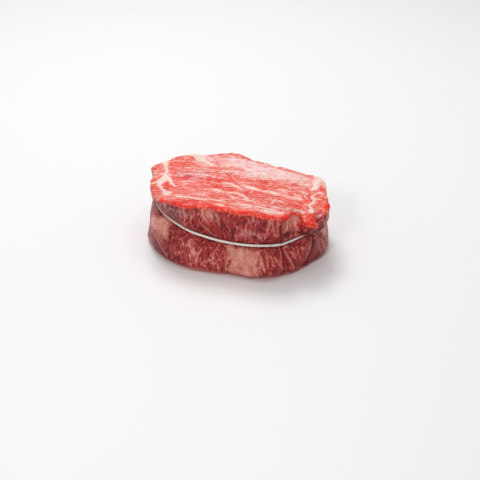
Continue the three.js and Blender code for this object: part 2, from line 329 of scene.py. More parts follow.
# Places on the upper cut face are x and y. The muscle's end lobe and its fat are at the left.
FACE = Markings(
    fat=(
        # The broad fat at the back left, between the end lobe and the muscle.
        Island((
            (-50, 54), (-46, 51.6), (-41.5, 51.4), (-38.3, 49.3), (-36, 46), (-34.6, 42.6), (-31, 41.4),
            (-27, 39.5), (-23.5, 36.5), (-21, 34), (-19.5, 34.5), (-22.5, 38.5), (-25.5, 42), (-27, 46.5),
            (-28, 52), (-27.5, 60), (-38, 62), (-50, 58),
        )),
        # The forked fat at the left.
        Island((
            (-66, 23.5), (-61, 22), (-57.5, 18.5), (-55.5, 14.5), (-53.6, 10), (-52.8, 5), (-51.2, 1),
            (-49.8, -2.6), (-50.4, -3), (-52.6, 0.6), (-54.5, 4.5), (-56, 8.5), (-57.5, 10.5), (-60, 7), (-61.5, 3),
            (-61.5, 0), (-60.2, -4), (-57.8, -8), (-54, -9.8), (-52.5, -12), (-54.5, -16.5), (-58, -16),
            (-60, -13), (-60, -9), (-62, -4), (-64.5, 0), (-65.3, 4), (-67.5, 6), (-66, 9), (-63.5, 14),
            (-61.5, 18), (-61.5, 21),
        )),
        # The fat at the right edge.
        Island((
            (60.5, 27), (64, 28), (69, 21), (74, 13), (74, 4), (70.5, 1), (69, 3.5), (68, 8.5), (67, 5),
            (66.5, 3), (65.2, -0.5), (63.5, -3.5), (61, -4.5), (59, -3.5), (60.8, 2), (62.2, 8),
            (62.8, 14), (61.6, 20),
        )),
        Seam(((-61, 47, 6), (-60.8, 42, 5.2), (-60.3, 39, 3), (-59.8, 34, 2.6), (-58.9, 29, 2.4), (-58.6, 26, 2),
              (-59.5, 22, 2.2), (-60, 18, 2))),
        Seam(((-72, 26.5, 1.5), (-68, 24, 1.5), (-63, 22, 1.6))),
        Seam(((-71, 4, 1.2), (-67, 6.5, 1.4), (-65, 8, 1.4))),
        Seam(((-68, 18, 1.4), (-66.8, 18.2, 1.4))),
        Seam(((62.5, -9.6, 0.8), (65, -8.2, 2.4), (68, -8, 2), (70.5, -9, 0.8))),
        Seam(((72.5, -10, 0.8), (73.6, -14, 1.6), (73.4, -19, 0.8))),
        Seam(((59.5, -15.5, 1), (59.6, -13.6, 1.4), (61, -12, 0.8))),
        Seam(((62, -16.5, 1), (60.8, -19, 1.8), (60, -22, 2.4), (57.5, -26, 2.2), (56, -27.8, 1.8),
              (57.5, -31, 2), (57.6, -33.5, 4.6), (57.4, -35.5, 5.2), (57, -37.5, 2.2))),
        Seam(((38.5, -35, 1.2), (39.6, -36.6, 1.2))),
        Seam(((42.5, -40, 1.2), (45, -40.6, 2.6), (48, -38.8, 2.6), (50.8, -36.4, 1.8), (53.5, -35.4, 0.8))),
        Seam(((40.5, -41.5, 1), (38, -43.6, 2), (34.8, -45.6, 2.4), (29.4, -47.2, 1.8), (24, -46.6, 2.2),
              (19, -45.4, 0.6))),
        # The long thin seams across the muscle, from the back to the front.
        Seam(((-11.5, 2.6, 0.8), (-8.5, 1.3, 2), (-5, -0.5, 1.6), (-2, -3.6, 1.5), (1.5, -6, 1.5),
              (3.5, -7.8, 1.2), (5.5, -10, 1.1), (7, -11.5, 0.6))),
        Seam(((5.5, -5, 1), (7.5, -6, 2.4), (9, -7, 3.2), (12, -7.2, 2.8), (16, -8.8, 1.8), (19.5, -10.6, 1.4),
              (23, -11.2, 1.4), (27.5, -12.2, 1.7), (31, -13, 1.6), (34.5, -13.2, 0.8))),
        Seam(((-21, -8.3, 1), (-18.5, -8.5, 2.3), (-16, -9.5, 2.2), (-13, -12, 1.8), (-9, -14.5, 1.5),
              (-5, -16, 1.7), (-2, -17, 2.6), (1, -19, 2.2), (4, -21.5, 1.8), (6, -24, 1.2), (8.5, -26, 0.6))),
        Seam(((-4.7, -23, 0.8), (-3.5, -25.8, 1.5), (-1, -27, 1.6), (3, -28.3, 1.4), (6, -28.8, 2), (9, -30, 2.4),
              (12, -30.5, 1.6), (13, -32.5, 1.7), (15.5, -34.5, 1.7), (19, -35.6, 1.4), (24, -36.5, 1),
              (30, -37.5, 1.5), (34, -37, 0.6))),
        Seam(((12, -27.6, 1.4), (13.2, -28.3, 1.4))),
        Seam(((-50, -18.5, 0.6), (-46, -21, 1.3), (-42, -22, 1.5), (-38, -23.5, 1.6), (-35.5, -26, 2.1),
              (-33, -26.5, 2.5), (-28, -27.5, 1.6), (-24, -28, 1.3), (-19, -29, 1.3), (-15.5, -30.5, 1.9),
              (-12, -31.5, 1.9), (-10, -33, 1.7), (-8.6, -34, 0.6))),
        Seam(((-6, -35.4, 0.8), (0, -36, 1.9), (4, -36.8, 1.9), (8, -37.8, 1.3), (9.8, -39, 0.6))),
        Seam(((-16, -36.8, 0.6), (-13, -38.2, 2.2), (-11, -39.2, 0.6))),
        Seam(((34, -7.4, 1.6), (36, -8, 1.7))),
        Seam(((47.5, -20, 1), (50.3, -20, 1.1))),
    ),
    veins=(
        Seam(((-58, 43.4, 1.4), (-51, 43.6, 1.4), (-45, 44, 1.4), (-44.6, 47.5, 1.2))),
        Seam(((-66.5, 34, 0.6), (-66.5, 30, 1.4), (-67, 26, 0.6))),
        Seam(((-5, 14, 0.8), (-2.5, 7.5, 1.2), (0, 2.5, 1.3), (3, -3, 1.3), (5, -6, 1.2))),
        Seam(((1, 8, 0.8), (1.5, 4, 1.1), (3.5, 1, 1.1), (5, -2.5, 1.2), (7, -5, 1.3))),
        Seam(((12.5, -11, 1), (9.5, -15, 0.8))),
        Seam(((-30, -9.2, 0.8), (-25, -8.4, 2), (-20, -8.3, 1.6))),
        Seam(((-57, -16.5, 1.2), (-52, -18, 1.2), (-44, -18.6, 1.2), (-34, -19.2, 1), (-22, -19.5, 0.6))),
        Seam(((38, -14, 0.6), (41, -16, 1.1), (45, -19, 1.1), (48, -20, 0.6))),
        Seam(((29.5, -22, 0.8), (27.5, -28, 1.1), (26, -33, 0.8))),
        Seam(((28, 31, 0.8), (36, 27, 1.5), (45, 24, 1.1), (54, 17, 0.8))),
        Seam(((-22, 17.5, 0.6), (-30, 18, 1.5), (-39, 19, 1.4), (-47, 18.5, 0.6))),
        Seam(((-45, 31, 0.6), (-36, 31, 1.3), (-26, 29.5, 1.3), (-18, 27, 0.6))),
        Seam(((8, -43.5, 0.6), (16, -42, 1.4), (24, -41.6, 1.4), (32, -40.5, 0.6))),
        Seam(((44.5, -37, 1.2), (47.5, -36, 1.6), (50.5, -33.5, 1.2))),
        Seam(((10, 11, 0.6), (22, 10.5, 1.8), (34, 9, 1.4), (44, 6.5, 0.6))),
        Seam(((40, -2.5, 0.6), (47, -3.2, 1.5), (55, -1.5, 0.6))),
    ),
    blood=(
        Seam(((-18, 51, 1.5), (-12, 53.5, 3), (-5, 57, 3.4), (2, 56.5, 2.4), (4, 54, 1.2))),
        Seam(((-15, 26, 1), (-12, 30.5, 2.4), (-6, 27.5, 2.4), (2, 28, 1))),
        Seam(((9, 27, 0.8), (4.5, 26, 1.6), (3, 23, 1.8), (8, 21.6, 1.4), (15, 21.5, 0.8))),
        Seam(((15.5, 26.6, 1.2), (19, 26.2, 2.4), (22.8, 25.5, 1.4))),
        Seam(((12, 46, 1), (20, 42, 1.2))),
        Seam(((-11, 20.5, 1.2), (-7, 15.5, 2.2), (-4.5, 9, 2.4), (-2, 3, 2.2), (1, -2, 2.2), (4, -7, 2),
              (6.5, -12, 1.6), (7.5, -17, 1))),
        Seam(((-2.5, 14.5, 1), (0.5, 9, 2), (2, 5, 1.6))),
        Seam(((9, 5, 1), (17, 5.5, 3), (25, 4, 1))),
        Seam(((-43, 15, 1.2), (-39.5, 14.8, 2.8), (-36.5, 14, 1.2))),
        Seam(((-30, 10.5, 1.6), (-24, 9, 2.8), (-17, 7.5, 3), (-11, 5, 1.6))),
        Seam(((-16, -5, 1), (-8, -5.5, 2.4), (-2, -6.2, 1))),
        Seam(((-5, -20, 1), (0, -23, 2), (5, -26, 1))),
        Seam(((12, -10, 1), (16, -13, 1.8), (21, -15, 1))),
        Seam(((-58, -4, 1), (-55.5, -6.5, 2), (-53, -9, 1))),
        Seam(((-58.6, 8, 1), (-58.2, 4, 2.4), (-56.5, 0, 2))),
        Seam(((-71, 15, 1.6), (-66, 12, 1))),
        Seam(((-69, 3, 1.6), (-69, -3, 1.4))),
        Seam(((68, 8, 0.6), (67.8, 3, 2), (67.2, -4, 1))),
        Seam(((36, -53, 3.2), (36.5, -50.5, 1))),
        Seam(((49, -44, 0.8), (49.4, -49, 2.2), (49, -53, 2))),
        Seam(((56, -5, 0.8), (57.5, -12, 1.4), (57, -20, 0.8))),
    ),
    creases=(
        Seam(((-31.5, 60, 2.6), (-31, 56.5, 1.8), (-30, 53, 0.6))),
        Seam(((-11, 20.5, 0.4), (-7, 15.5, 0.7), (-4, 9, 0.4))),
        Seam(((60, -12, 0.6), (62.5, -16, 1.1), (61.5, -22, 1.1), (55, -31, 0.6))),
        Seam(((48.4, -50, 1.6), (48.6, -44, 2), (49.6, -39.5, 1.6), (52.5, -37.6, 1.2), (56, -38, 0.6))),
        Seam(((61.5, -37, 0.6), (64, -39, 1.5), (65.5, -43, 2))),
        Seam(((66.5, 3, 0.6), (66, -3, 1.2), (62, -8, 0.8))),
        Seam(((-30, 11.5, 0.4), (-20, 9.5, 0.8), (-12, 7, 0.4))),
    ),
    # Painted sheen: on the cut face the pale areas are mostly where the wet flesh catches the light from behind,
    # broadest at the back right.
    pale=(
        Patch((21, 27), (42, 15), -24, 0.8),
        Patch((-6, 44), (20, 11), -18, 0.6),
        Patch((14, 16), (22, 7), -2, 0.6),
        Patch((50, 12), (16, 9), -32, 0.6),
        Patch((-30, 25), (20, 8), -4, 0.4),
        Patch((-38, 5), (14, 6), 0, 0.3),
        Patch((-20, -12), (16, 4), -8, 0.35),
        Patch((10, -42), (26, 5), -2, 0.55),
        Patch((24, -26), (9, 5), 0, 0.25),
        Patch((24.5, -48), (4.5, 3), 0, 0.9),
        Patch((15, 17), (4.5, 3), 0, 0.7),
        Patch((-8, 24), (4, 3), 0, 0.7),
        Patch((12, 31), (5, 3.5), 0, 0.7),
        Patch((37, 22), (9, 4), -20, 0.7),
        Patch((-36, 57), (7, 5), 0, 0.8),
    ),
    red=(
        Patch((-66, 32), (9, 4.5), 90, 0.65),
        Patch((-47, 45), (11, 7), -10, 0.6),
        Patch((-50, 39), (10, 4), -28, 0.5),
        Patch((-17, -3), (14, 3), -4, 0.45),
        Patch((-2, 5), (15, 4), -58, 0.6),
        Patch((20, 5), (13, 3.6), 0, 0.5),
        Patch((-4, 30), (12, 2.6), -4, 0.4),
        Patch((46, 0), (10, 2.4), 6, 0.4),
        Patch((24, -6), (11, 3.4), -10, 0.5),
        Patch((64, -22), (7, 12), 0, 0.6),
        Patch((56, -44.5), (6.5, 7), 0, 0.95),
        Patch((39, -46), (4.5, 6), -10, 1.0),
        Patch((-57, 3), (3, 5), 15, 0.6),
        Patch((-36, -33), (22, 6), -6, 0.7),
        Patch((46, -24), (12, 8), 0, 0.4),
        Patch((41, -46), (4, 4), 0, 0.6),
        Patch((69.5, 5), (5, 4), 20, 0.8),
        Patch((64, 17), (5, 6), 0, 0.35),
        Patch((-33, 46), (3, 6), 0, 0.4),
        Patch((-60, -6), (4, 7), 20, 0.35),
    ),
    # Painted sheen: on the cut face these plum areas take the cool sheen row, partly a lavender sheen of the light
    # from behind.
    plum=(
        Patch((-36, 17), (18, 9), -6, 0.9),
        Patch((18, 34), (26, 9), -24, 0.7),
        Patch((-34, -20), (20, 5), -6, 0.5),
        Patch((-66, -18), (5, 10), 25, 0.6),
        Patch((66.5, -37), (3, 7), -28, 0.9),
    ),
    webs=(
        Patch((44, -16), (18, 9), -4, 1.0),
        Patch((-52, -24), (12, 6), -20, 0.6),
        Patch((64, -20), (6, 12), 0, 0.9),
        Patch((56, -45), (6, 6), 0, 0.25),
    ),
    deep=(
        Patch((-57, 3), (3, 5), 15, 0.5),
        Patch((-3, 7), (9, 2.5), -62, 0.5),
    ),
    rims=(Patch((55.3, -44.3), (8, 8.2), 0, 0.72),),
)

# Places on the side are the angle round the steak, at this many mm for a degree, and the height.
SIDE_DEGREE = 1.1


def side_seam(*points: tuple[float, float, float]) -> Seam:
    """Makes a seam on the side from angles in degrees, heights and widths."""
    return Seam(tuple((angle * SIDE_DEGREE, height, width) for angle, height, width in points))


def side_island(*points: tuple[float, float]) -> Island:
    """Makes an island on the side from angles in degrees and heights."""
    return Island(tuple((angle * SIDE_DEGREE, height) for angle, height in points))


def side_patch(
    angle: float, height: float, round_by: float, up_by: float, turn: float, strength: float
) -> Patch:
    """Makes a patch on the side, its middle by angle in degrees and height."""
    return Patch((angle * SIDE_DEGREE, height), (round_by, up_by), turn, strength)


SIDE = Markings(
    fat=(
        side_island(
            (-178, 22.5), (-177.5, 25.5), (-174, 28.5), (-170, 31), (-165, 34), (-160, 35.5), (-153.5, 34.5),
            (-151, 29.5), (-149.8, 25), (-150.3, 20), (-153, 16), (-159, 15.5), (-166, 17), (-173, 19),
            (-177, 20.5),
        ),
        side_island(
            (-98.5, 25.4), (-97, 19), (-97, 12), (-98, 6), (-96, 2.5), (-88, 1.5), (-80, 2),
            (-76.5, 7), (-75.5, 14), (-74.5, 20), (-75.5, 25), (-85, 25.6),
        ),
        side_island((-26, 27), (-21, 29), (-16, 27), (-15, 22), (-19, 20), (-22, 22)),
        side_island(
            (-53.6, 46.5), (-50.4, 48.5), (-48.6, 48), (-48.2, 43), (-49, 39.5), (-50.2, 41),
            (-51.6, 39.8), (-52.9, 41.5),
        ),
        side_seam((118, 54, 9), (120, 42, 7.5), (117, 30, 6), (119, 14, 8.5), (118, 2, 8)),
        side_seam((15, 50, 9), (12, 38, 7), (15, 24, 9), (12, 10, 8), (13, 2, 7)),
        side_seam((66, 22, 0.8), (70, 16, 7), (74, 9, 10), (76, 2, 9)),
        side_seam((150, 34, 1), (152, 26, 5), (149, 16, 6), (151, 6, 3)),
    ),
    veins=(
        side_seam((-124, 54, 0.8), (-124.5, 49, 1.4), (-122, 44, 0.8)),
        side_seam((-123.5, 53.5, 0.6), (-125, 49, 1.1), (-123.5, 43, 1), (-119.5, 39.5, 0.6)),
        side_seam((-120, 53, 1), (-119, 49.5, 3), (-117.5, 45, 1.6)),
        side_seam((-114.5, 53, 0.6), (-114.5, 48, 1.1), (-116.5, 42, 0.8)),
        side_seam((-125, 40, 0.6), (-121, 36, 1.4), (-115, 32.5, 0.8)),
        side_seam((-114, 53, 0.8), (-110, 48, 2.6), (-107, 44, 2.2), (-107, 41, 0.6)),
        side_seam((-119.5, 36, 0.6), (-117, 33.5, 1.8), (-113, 31, 0.6)),
        side_seam((-141, 51, 0.6), (-140, 46, 1.1), (-140.5, 41, 0.6)),
        side_seam((-137.5, 50, 0.6), (-136.5, 44, 1.2), (-137, 37, 0.6)),
        side_seam((-131, 53, 0.6), (-130, 49, 1.2), (-131, 44, 0.6)),
        side_seam((-127, 45, 0.4), (-126, 40, 1), (-128, 35, 0.4)),
        side_seam((-103, 51, 0.6), (-101.5, 45, 1.1), (-97.5, 39, 0.9), (-96, 33, 0.6)),
        side_seam((-94.5, 53, 0.6), (-93.5, 51.5, 1.8), (-93.5, 50, 0.6)),
        side_seam((-90.5, 43, 0.6), (-90.6, 36, 1.1), (-91, 30, 0.6)),
        side_seam((-88.5, 34, 0.8), (-86.5, 37, 2.4), (-84, 35, 1)),
        side_seam((-86, 42, 0.8), (-85.5, 40, 1.8), (-86, 38, 0.6)),
        side_seam((-83, 53, 0.6), (-81, 48, 1.4), (-79, 44, 0.8)),
        side_seam((-78, 53, 0.6), (-77, 50, 1.8), (-78, 46, 0.6)),
        side_seam((-83, 35.5, 0.8), (-80, 37.6, 1.2), (-76, 37.6, 1.2), (-73, 35.6, 0.8)),
        side_seam((-67.5, 53, 1), (-67, 47, 1.8), (-68.5, 41, 1.2), (-69.5, 34, 0.8)),
        side_seam((-65, 53, 1), (-65, 48, 1.6), (-64.5, 41, 0.8)),
        side_seam((-61, 51, 0.6), (-61.5, 44, 1.2), (-60.5, 37, 0.8)),
        side_seam((-49.6, 47.5, 0.6), (-49.3, 43, 1.6), (-49.4, 38.5, 0.6)),
        side_seam((-51.6, 46.5, 0.6), (-51.4, 43, 1.4), (-51.8, 39, 0.6)),
        side_seam((-53.5, 45, 1), (-54, 42, 2.2), (-53.4, 38.5, 0.8)),
        side_seam((-132, 26, 0.8), (-132, 23.5, 2.2), (-133, 21, 0.6)),
        side_seam((-138, 16, 0.6), (-138, 13.5, 1.6), (-138.5, 11, 0.6)),
        side_seam((-114, 15, 0.8), (-113.5, 11.5, 1.1), (-110.5, 9.8, 1.1), (-107.5, 11, 1.1), (-106, 15, 0.8)),
        side_seam((-124, 17, 0.6), (-123.5, 14.5, 1.4), (-124, 12, 0.6)),
        side_seam((-102, 21, 0.8), (-104.5, 17, 1.2), (-103, 13, 0.8)),
        side_seam((-74, 24, 0.8), (-73, 17, 1.4), (-75, 11, 1.1), (-73, 4, 0.6)),
        side_seam((-68, 23, 0.6), (-66, 18, 1.3), (-67, 12, 0.8)),
        side_seam((-64, 20, 0.8), (-63.5, 17, 2), (-62, 14, 0.8)),
        side_seam((-61, 16, 0.6), (-60.5, 14, 1.2), (-61, 11, 0.6)),
        side_seam((-55.5, 24.8, 0.6), (-54.5, 24.5, 1.7), (-53.5, 24.2, 0.6)),
        side_seam((-56, 24, 0.8), (-54.5, 18, 1.8), (-51.5, 11, 1.8), (-50.5, 5, 0.8)),
        side_seam((-53, 25, 0.8), (-51, 19, 1.4), (-48.5, 13, 1)),
        side_seam((-33.6, 25.5, 1.5), (-36.8, 18, 1.6), (-38.4, 11, 1.6), (-41.3, 3.5, 1.4)),
        side_seam((-58.8, 25.5, 1), (-59.2, 19, 1.2), (-59.8, 11, 1.2), (-58.9, 3, 1.2)),
        side_seam((-98.8, 24, 1.6), (-98.4, 17, 2.4), (-99.5, 10, 2), (-99, 4, 1.4)),
        side_seam((-96, 24.5, 1.6), (-95, 20, 2), (-95.5, 15, 0.8)),
        side_seam((-75.5, 24, 1.2), (-74, 19, 1.6), (-73, 14, 2.2), (-71.5, 9, 1.4)),
        side_seam((-87.5, 6.5, 1), (-86.5, 4.6, 2.2), (-85.5, 3.4, 0.8)),
        side_seam((-70, 24, 0.8), (-69, 20, 1.1), (-69.8, 12, 0.8)),
        side_seam((-48.5, 40, 1), (-48.8, 37, 1.6), (-48.4, 34.5, 0.8)),
        side_seam((-51, 41, 0.8), (-50.6, 38, 1.4), (-51.2, 35, 0.8)),
        side_seam((-45.2, 42, 0.8), (-45.6, 39, 1.2), (-45, 36, 0.6)),
        side_seam((-42, 40.5, 0.6), (-42.3, 38, 1.1), (-41.6, 35.5, 0.6)),
        side_seam((-28, 44.5, 0.8), (-27.4, 42, 1.4), (-27.8, 39.5, 0.8)),
        side_seam((-24.5, 45, 0.8), (-24, 42.5, 1.2), (-24.4, 40, 0.6)),
        side_seam((-25, 21, 0.8), (-22, 16, 1.6), (-18, 6, 1.6)),
        side_seam((-30, 24, 0.6), (-26, 14, 1.2), (-23, 5, 0.8)),
        side_seam((-39, 15, 0.6), (-38, 9, 1.2), (-38.5, 3, 0.8)),
        side_seam((-31, 44, 0.6), (-29, 40, 1.4), (-25, 36.5, 1.2), (-19, 35, 0.6)),
        side_seam((-156, 49, 0.6), (-154, 51, 1.3), (-153, 46, 0.6)),
        side_seam((-171, 42.5, 0.8), (-167, 45, 2), (-163, 48, 0.8)),
        side_seam((-158.5, 15.5, 0.6), (-155.5, 12, 1.2), (-152, 8.5, 1.6), (-149, 5, 1.4), (-147.5, 3, 0.6)),
    ),
    blood=(
        side_seam((-176, 28.5, 2), (-173.5, 31, 2.6), (-169, 33.3, 1.2)),
        side_seam((-35, 31.5, 0.8), (-28, 32.5, 2), (-21, 33.5, 3), (-14, 34, 1.6)),
        side_seam((-106, 23.6, 0.8), (-104.5, 22.4, 1.8), (-103.5, 20.6, 0.6)),
        side_seam((-20.5, 22.5, 0.8), (-18.5, 21.4, 1.8), (-16.5, 20, 0.8)),
        side_seam((-59, 23, 0.8), (-58, 18, 1.6), (-57, 12, 0.8)),
    ),
    creases=(
        side_seam((-58.3, 27, 2.4), (-58, 33, 1.8), (-59.5, 41, 1.2), (-57.5, 48, 0.4)),
        side_seam((-57, 26, 1.8), (-57.5, 19, 1.8), (-58.1, 9, 2.2), (-57, 0, 4)),
        side_seam((-51, 24, 0.8), (-52, 18, 1.4), (-50, 9, 1)),
        side_seam((-31.6, 27, 1.8), (-34.2, 18, 2.4), (-36, 11, 2.6), (-39.5, 0, 3.8)),
        side_seam((-56, 35.5, 2.6), (-51, 36, 4.6), (-46.5, 35.5, 3)),
        side_seam((-46, 35.5, 2), (-43, 37.5, 4.2), (-39, 39, 3.8), (-34, 41, 2.2), (-28, 42.5, 0.8)),
        side_seam((-31, 46, 1), (-32, 42, 1.6), (-35, 38, 1.2)),
        side_seam((-25.5, 45, 0.6), (-26, 40.5, 1.2), (-29, 36, 0.8)),
        side_seam((-153, 33.5, 0.4), (-150, 28, 0.8), (-148.3, 21, 1.1), (-148.5, 12, 1.1), (-147, 4, 0.4)),
        side_seam((-166, 16, 0.4), (-160, 11, 1.1), (-154, 6, 0.6)),
        side_seam((-171, 14, 0.4), (-165, 8, 1.1), (-159, 3, 0.6)),
        side_seam((-27, 30, 2), (-24.5, 23, 1.8), (-21, 15, 0.6)),
        side_seam((-47.4, 48, 1), (-47, 43, 1.8), (-46, 37, 1.6), (-41.5, 34.5, 0.8)),
        side_seam((-70, 29, 1.1), (-71, 35, 0.8), (-73, 43, 0.4)),
        side_seam((-95.6, 41, 0.4), (-95, 36, 1), (-95, 31, 0.6)),
        side_seam((-114, 52, 0.6), (-106, 45.5, 1.2), (-99, 38, 1.2), (-94.5, 33, 0.6)),
        side_seam((-131, 44, 0.6), (-129.5, 40, 1.3), (-126.5, 35, 0.6)),
        side_seam((-165, 49, 0.8), (-161, 45, 1.6), (-156, 41, 0.6)),
        side_seam((30, 32, 1.8), (32, 22, 1.4), (30, 10, 1), (31, 0, 2.6)),
        side_seam((66, 32, 1.6), (67, 24, 1.2), (64, 12, 1), (65, 0, 2.4)),
        side_seam((95, 38, 1.4), (97, 46, 1), (95, 52, 1.6)),
        side_seam((98, 31, 1.4), (96, 20, 1.8), (98, 8, 1.4), (97, 0, 2.6)),
        side_seam((138, 36, 1.6), (136, 24, 1.4), (139, 12, 1.4), (141, 0, 3)),
        side_seam((58, 36, 1.4), (60, 44, 1.2), (58, 50, 0.8)),
        side_seam((128, 38, 1.2), (130, 46, 1.6), (127, 51, 1)),
        side_seam((172, 38, 1), (170, 45, 1.4), (173, 50, 0.8)),
    ),
    pale=(
        side_patch(-119.5, 48, 5, 7, 0, 0.9),
        side_patch(-109, 47, 3, 6, 25, 0.6),
        side_patch(-88, 36, 8, 5, 0, 0.4),
        side_patch(-66, 47, 4, 8, 0, 0.5),
        side_patch(-51, 45, 6, 5, 0, 1.0),
        side_patch(-75, 14, 3, 3, 0, 0.9),
        side_patch(-77, 8, 6, 6, 0, 0.9),
        side_patch(-83, 20, 8, 4, 0, 0.5),
        side_patch(-20, 24, 5, 6, 0, 1.0),
        side_patch(-163, 29.5, 14, 5, 0, 1.0),
        side_patch(-79, 37.5, 9, 3.6, 0, 0.75),
        side_patch(-132, 46.5, 5, 5, 0, 0.55),
        side_patch(-123, 14, 20, 10, 0, 0.25),
        side_patch(60, 42, 14, 6, 0, 0.35),
        side_patch(140, 20, 12, 8, 0, 0.35),
    ),
    red=(
        side_patch(-42.5, 43.5, 5.5, 4.5, 0, 1.0),
        side_patch(-84, 10, 6, 2, 0, 0.9),
        side_patch(-54.5, 21, 3, 6, 0, 0.7),
        side_patch(-33, 14, 9, 9, 0, 0.75),
        side_patch(-24, 12, 8, 9, 0, 0.5),
        side_patch(-113, 38, 9, 5, 30, 0.8),
        side_patch(-104, 42, 7, 8, 0, 0.6),
        side_patch(-66, 16, 10, 9, 0, 0.55),
        side_patch(-92, 51.5, 26, 2.6, 0, 0.7),
        side_patch(-100, 48, 14, 5, 0, 0.6),
        side_patch(-108, 38, 12, 7, 20, 0.6),
        side_patch(-56, 19, 5, 7, 0, 0.6),
        side_patch(-119.5, 47, 5, 7, 0, 0.5),
        side_patch(-110, 18, 12, 8, 0, 0.3),
        side_patch(-60, 50, 9, 2.6, 0, 0.6),
        side_patch(40, 15, 16, 9, 0, 0.4),
        side_patch(100, 44, 18, 5, 0, 0.4),
        side_patch(165, 12, 10, 7, 0, 0.35),
    ),
    plum=(
        side_patch(-171, 44, 14, 8, 0, 0.8),
        side_patch(-147, 44, 14, 9, 0, 0.75),
        side_patch(-104, 36, 10, 6, 0, 0.3),
        side_patch(-79, 37, 10, 4, 0, 0.45),
        side_patch(-161, 13, 14, 5, 0, 0.35),
        side_patch(-94, 22, 6, 4, 0, 0.5),
        side_patch(-110, 48, 4, 6, 25, 0.7),
        side_patch(-160, 5, 16, 5, 0, 0.6),
        side_patch(30, 40, 16, 7, 0, 0.5),
        side_patch(85, 14, 14, 8, 0, 0.4),
        side_patch(150, 44, 16, 7, 0, 0.6),
    ),
    webs=(
        side_patch(-120, 13, 19, 13, 0, 1.0),
        side_patch(-137, 18, 9, 8, 0, 0.7),
        side_patch(-161, 16, 13, 8, 0, 0.9),
        side_patch(-66, 14, 6, 9, 0, 0.5),
        side_patch(-44, 14, 14, 10, 0, 0.6),
        side_patch(-156, 46, 16, 7, 0, 1.0),
        side_patch(45, 14, 20, 10, 0, 0.8),
        side_patch(100, 40, 18, 9, 0, 0.5),
        side_patch(150, 12, 20, 9, 0, 0.8),
        side_patch(-132, 46, 7, 6, 0, 0.8),
        side_patch(-25, 16, 7, 8, 0, 0.35),
    ),
    deep=(
        side_patch(-161, 8, 15, 9, 0, 1.0),
        side_patch(-159, 20, 14, 4.5, 0, 0.6),
        side_patch(-150, 40, 10, 5, 0, 0.4),
        side_patch(-128, 38, 9, 3.5, 0, 0.6),
        side_patch(-103, 38, 9, 6, 0, 0.6),
        side_patch(-66, 42, 5, 5, 0, 0.4),
        # Painted shade under the overhanging membrane and lobe at the right front.
        side_patch(-51, 36.5, 7, 3, 0, 0.9),
        side_patch(-44, 39, 5.5, 3.2, 0, 0.9),
        side_patch(-31, 43, 6, 5, 0, 0.4),
        side_patch(-24, 13, 11, 12, 0, 0.7),
        side_patch(-33, 14, 2.4, 10, 12, 0.7),
        side_patch(60, 12, 14, 8, 0, 0.4),
        side_patch(110, 40, 8, 8, 0, 0.4),
        side_patch(140, 14, 12, 8, 0, 0.4),
    ),
    rims=(side_patch(-43.4, 46.6, 5.4, 4.6, 0, 1.0),),
)


@dataclass
class StringCourse:
    """Where the string runs, read from its solid.

    Attributes:
        node: Name of the string's solid in the frame.
        blur: Angle over which the solid's points are averaged, in degrees.
        readings: How many angles round the steak it is read at.
    """

    node: str = "string"
    blur: float = 2.8
    readings: int = 720

    def __post_init__(self) -> None:
        """Reads the string's distance from the axis and its height at even angles."""
        points = node_points(self.node)
        self.angles = np.linspace(-math.pi, math.pi, self.readings, endpoint=False)
        turned = np.arctan2(points[:, 1], points[:, 0])
        apart = np.angle(np.exp(1j * (self.angles[:, None] - turned[None, :])))
        weights = np.exp(-((apart / math.radians(self.blur)) ** 2))
        weights /= weights.sum(axis=1, keepdims=True)
        self.distances = weights @ np.hypot(points[:, 0], points[:, 1])
        self.heights = weights @ points[:, 2]

    def at(self, angles: Array) -> tuple[Array, Array]:
        """Reads the string's centreline.

        Args:
            angles: Angles round the steak, in radians.

        Returns:
            Its distance from the axis and its height at each angle.
        """
        lap = 2 * math.pi
        distances = np.interp(angles, self.angles, self.distances, period=lap)
        return distances, np.interp(angles, self.angles, self.heights, period=lap)


def node_points(name: str) -> Array:
    """Reads the points of a solid of the frame.

    Args:
        name: The solid's node.

    Returns:
        Its points in mm, one row each.
    """
    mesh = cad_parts[name].data
    points = np.empty(len(mesh.vertices) * 3)
    mesh.vertices.foreach_get("co", points)
    return points.reshape(-1, 3) / MM


class Solid:
    """A solid of the frame, felt by rays."""

    def __init__(self, name: str) -> None:
        """Builds the search tree.

        Args:
            name: The solid's node.
        """
        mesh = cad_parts[name].data
        points = node_points(name)
        faces = [tuple(face.vertices) for face in mesh.polygons]
        self.tree = BVHTree.FromPolygons([Vector(point) for point in points], faces)

    def hits(self, starts: Array, ways: Array) -> Array:
        """Sends rays and finds where each first meets the solid.

        Args:
            starts: Where the rays start, one row each.
            ways: Which way each goes.

        Returns:
            The points that they meet, or their starts where they meet nothing.
        """
        found = [self.tree.ray_cast(Vector(start), Vector(way))[0] for start, way in zip(starts, ways)]
        return np.array([start if point is None else point for start, point in zip(starts, found)])


@dataclass
class Skin:
    """A closed skin.

    Attributes:
        points: Its points in mm, one row each.
        faces: Its four-sided faces, as rows of point numbers.
        fan: Its three-sided faces, which are all level.
    """

    points: Array
    faces: Numbers
    fan: Numbers

    def normals(self) -> Array:
        """Works out which way the four-sided faces look at each point."""
        a, b, c, d = (self.points[self.faces[:, k]] for k in range(4))
        facing = np.cross(c - a, d - b)
        total = np.zeros_like(self.points)
        for k in range(4):
            for axis in range(3):
                total[:, axis] += np.bincount(self.faces[:, k], facing[:, axis], len(self.points))
        return total / np.maximum(np.linalg.norm(total, axis=1, keepdims=True), 1e-9)


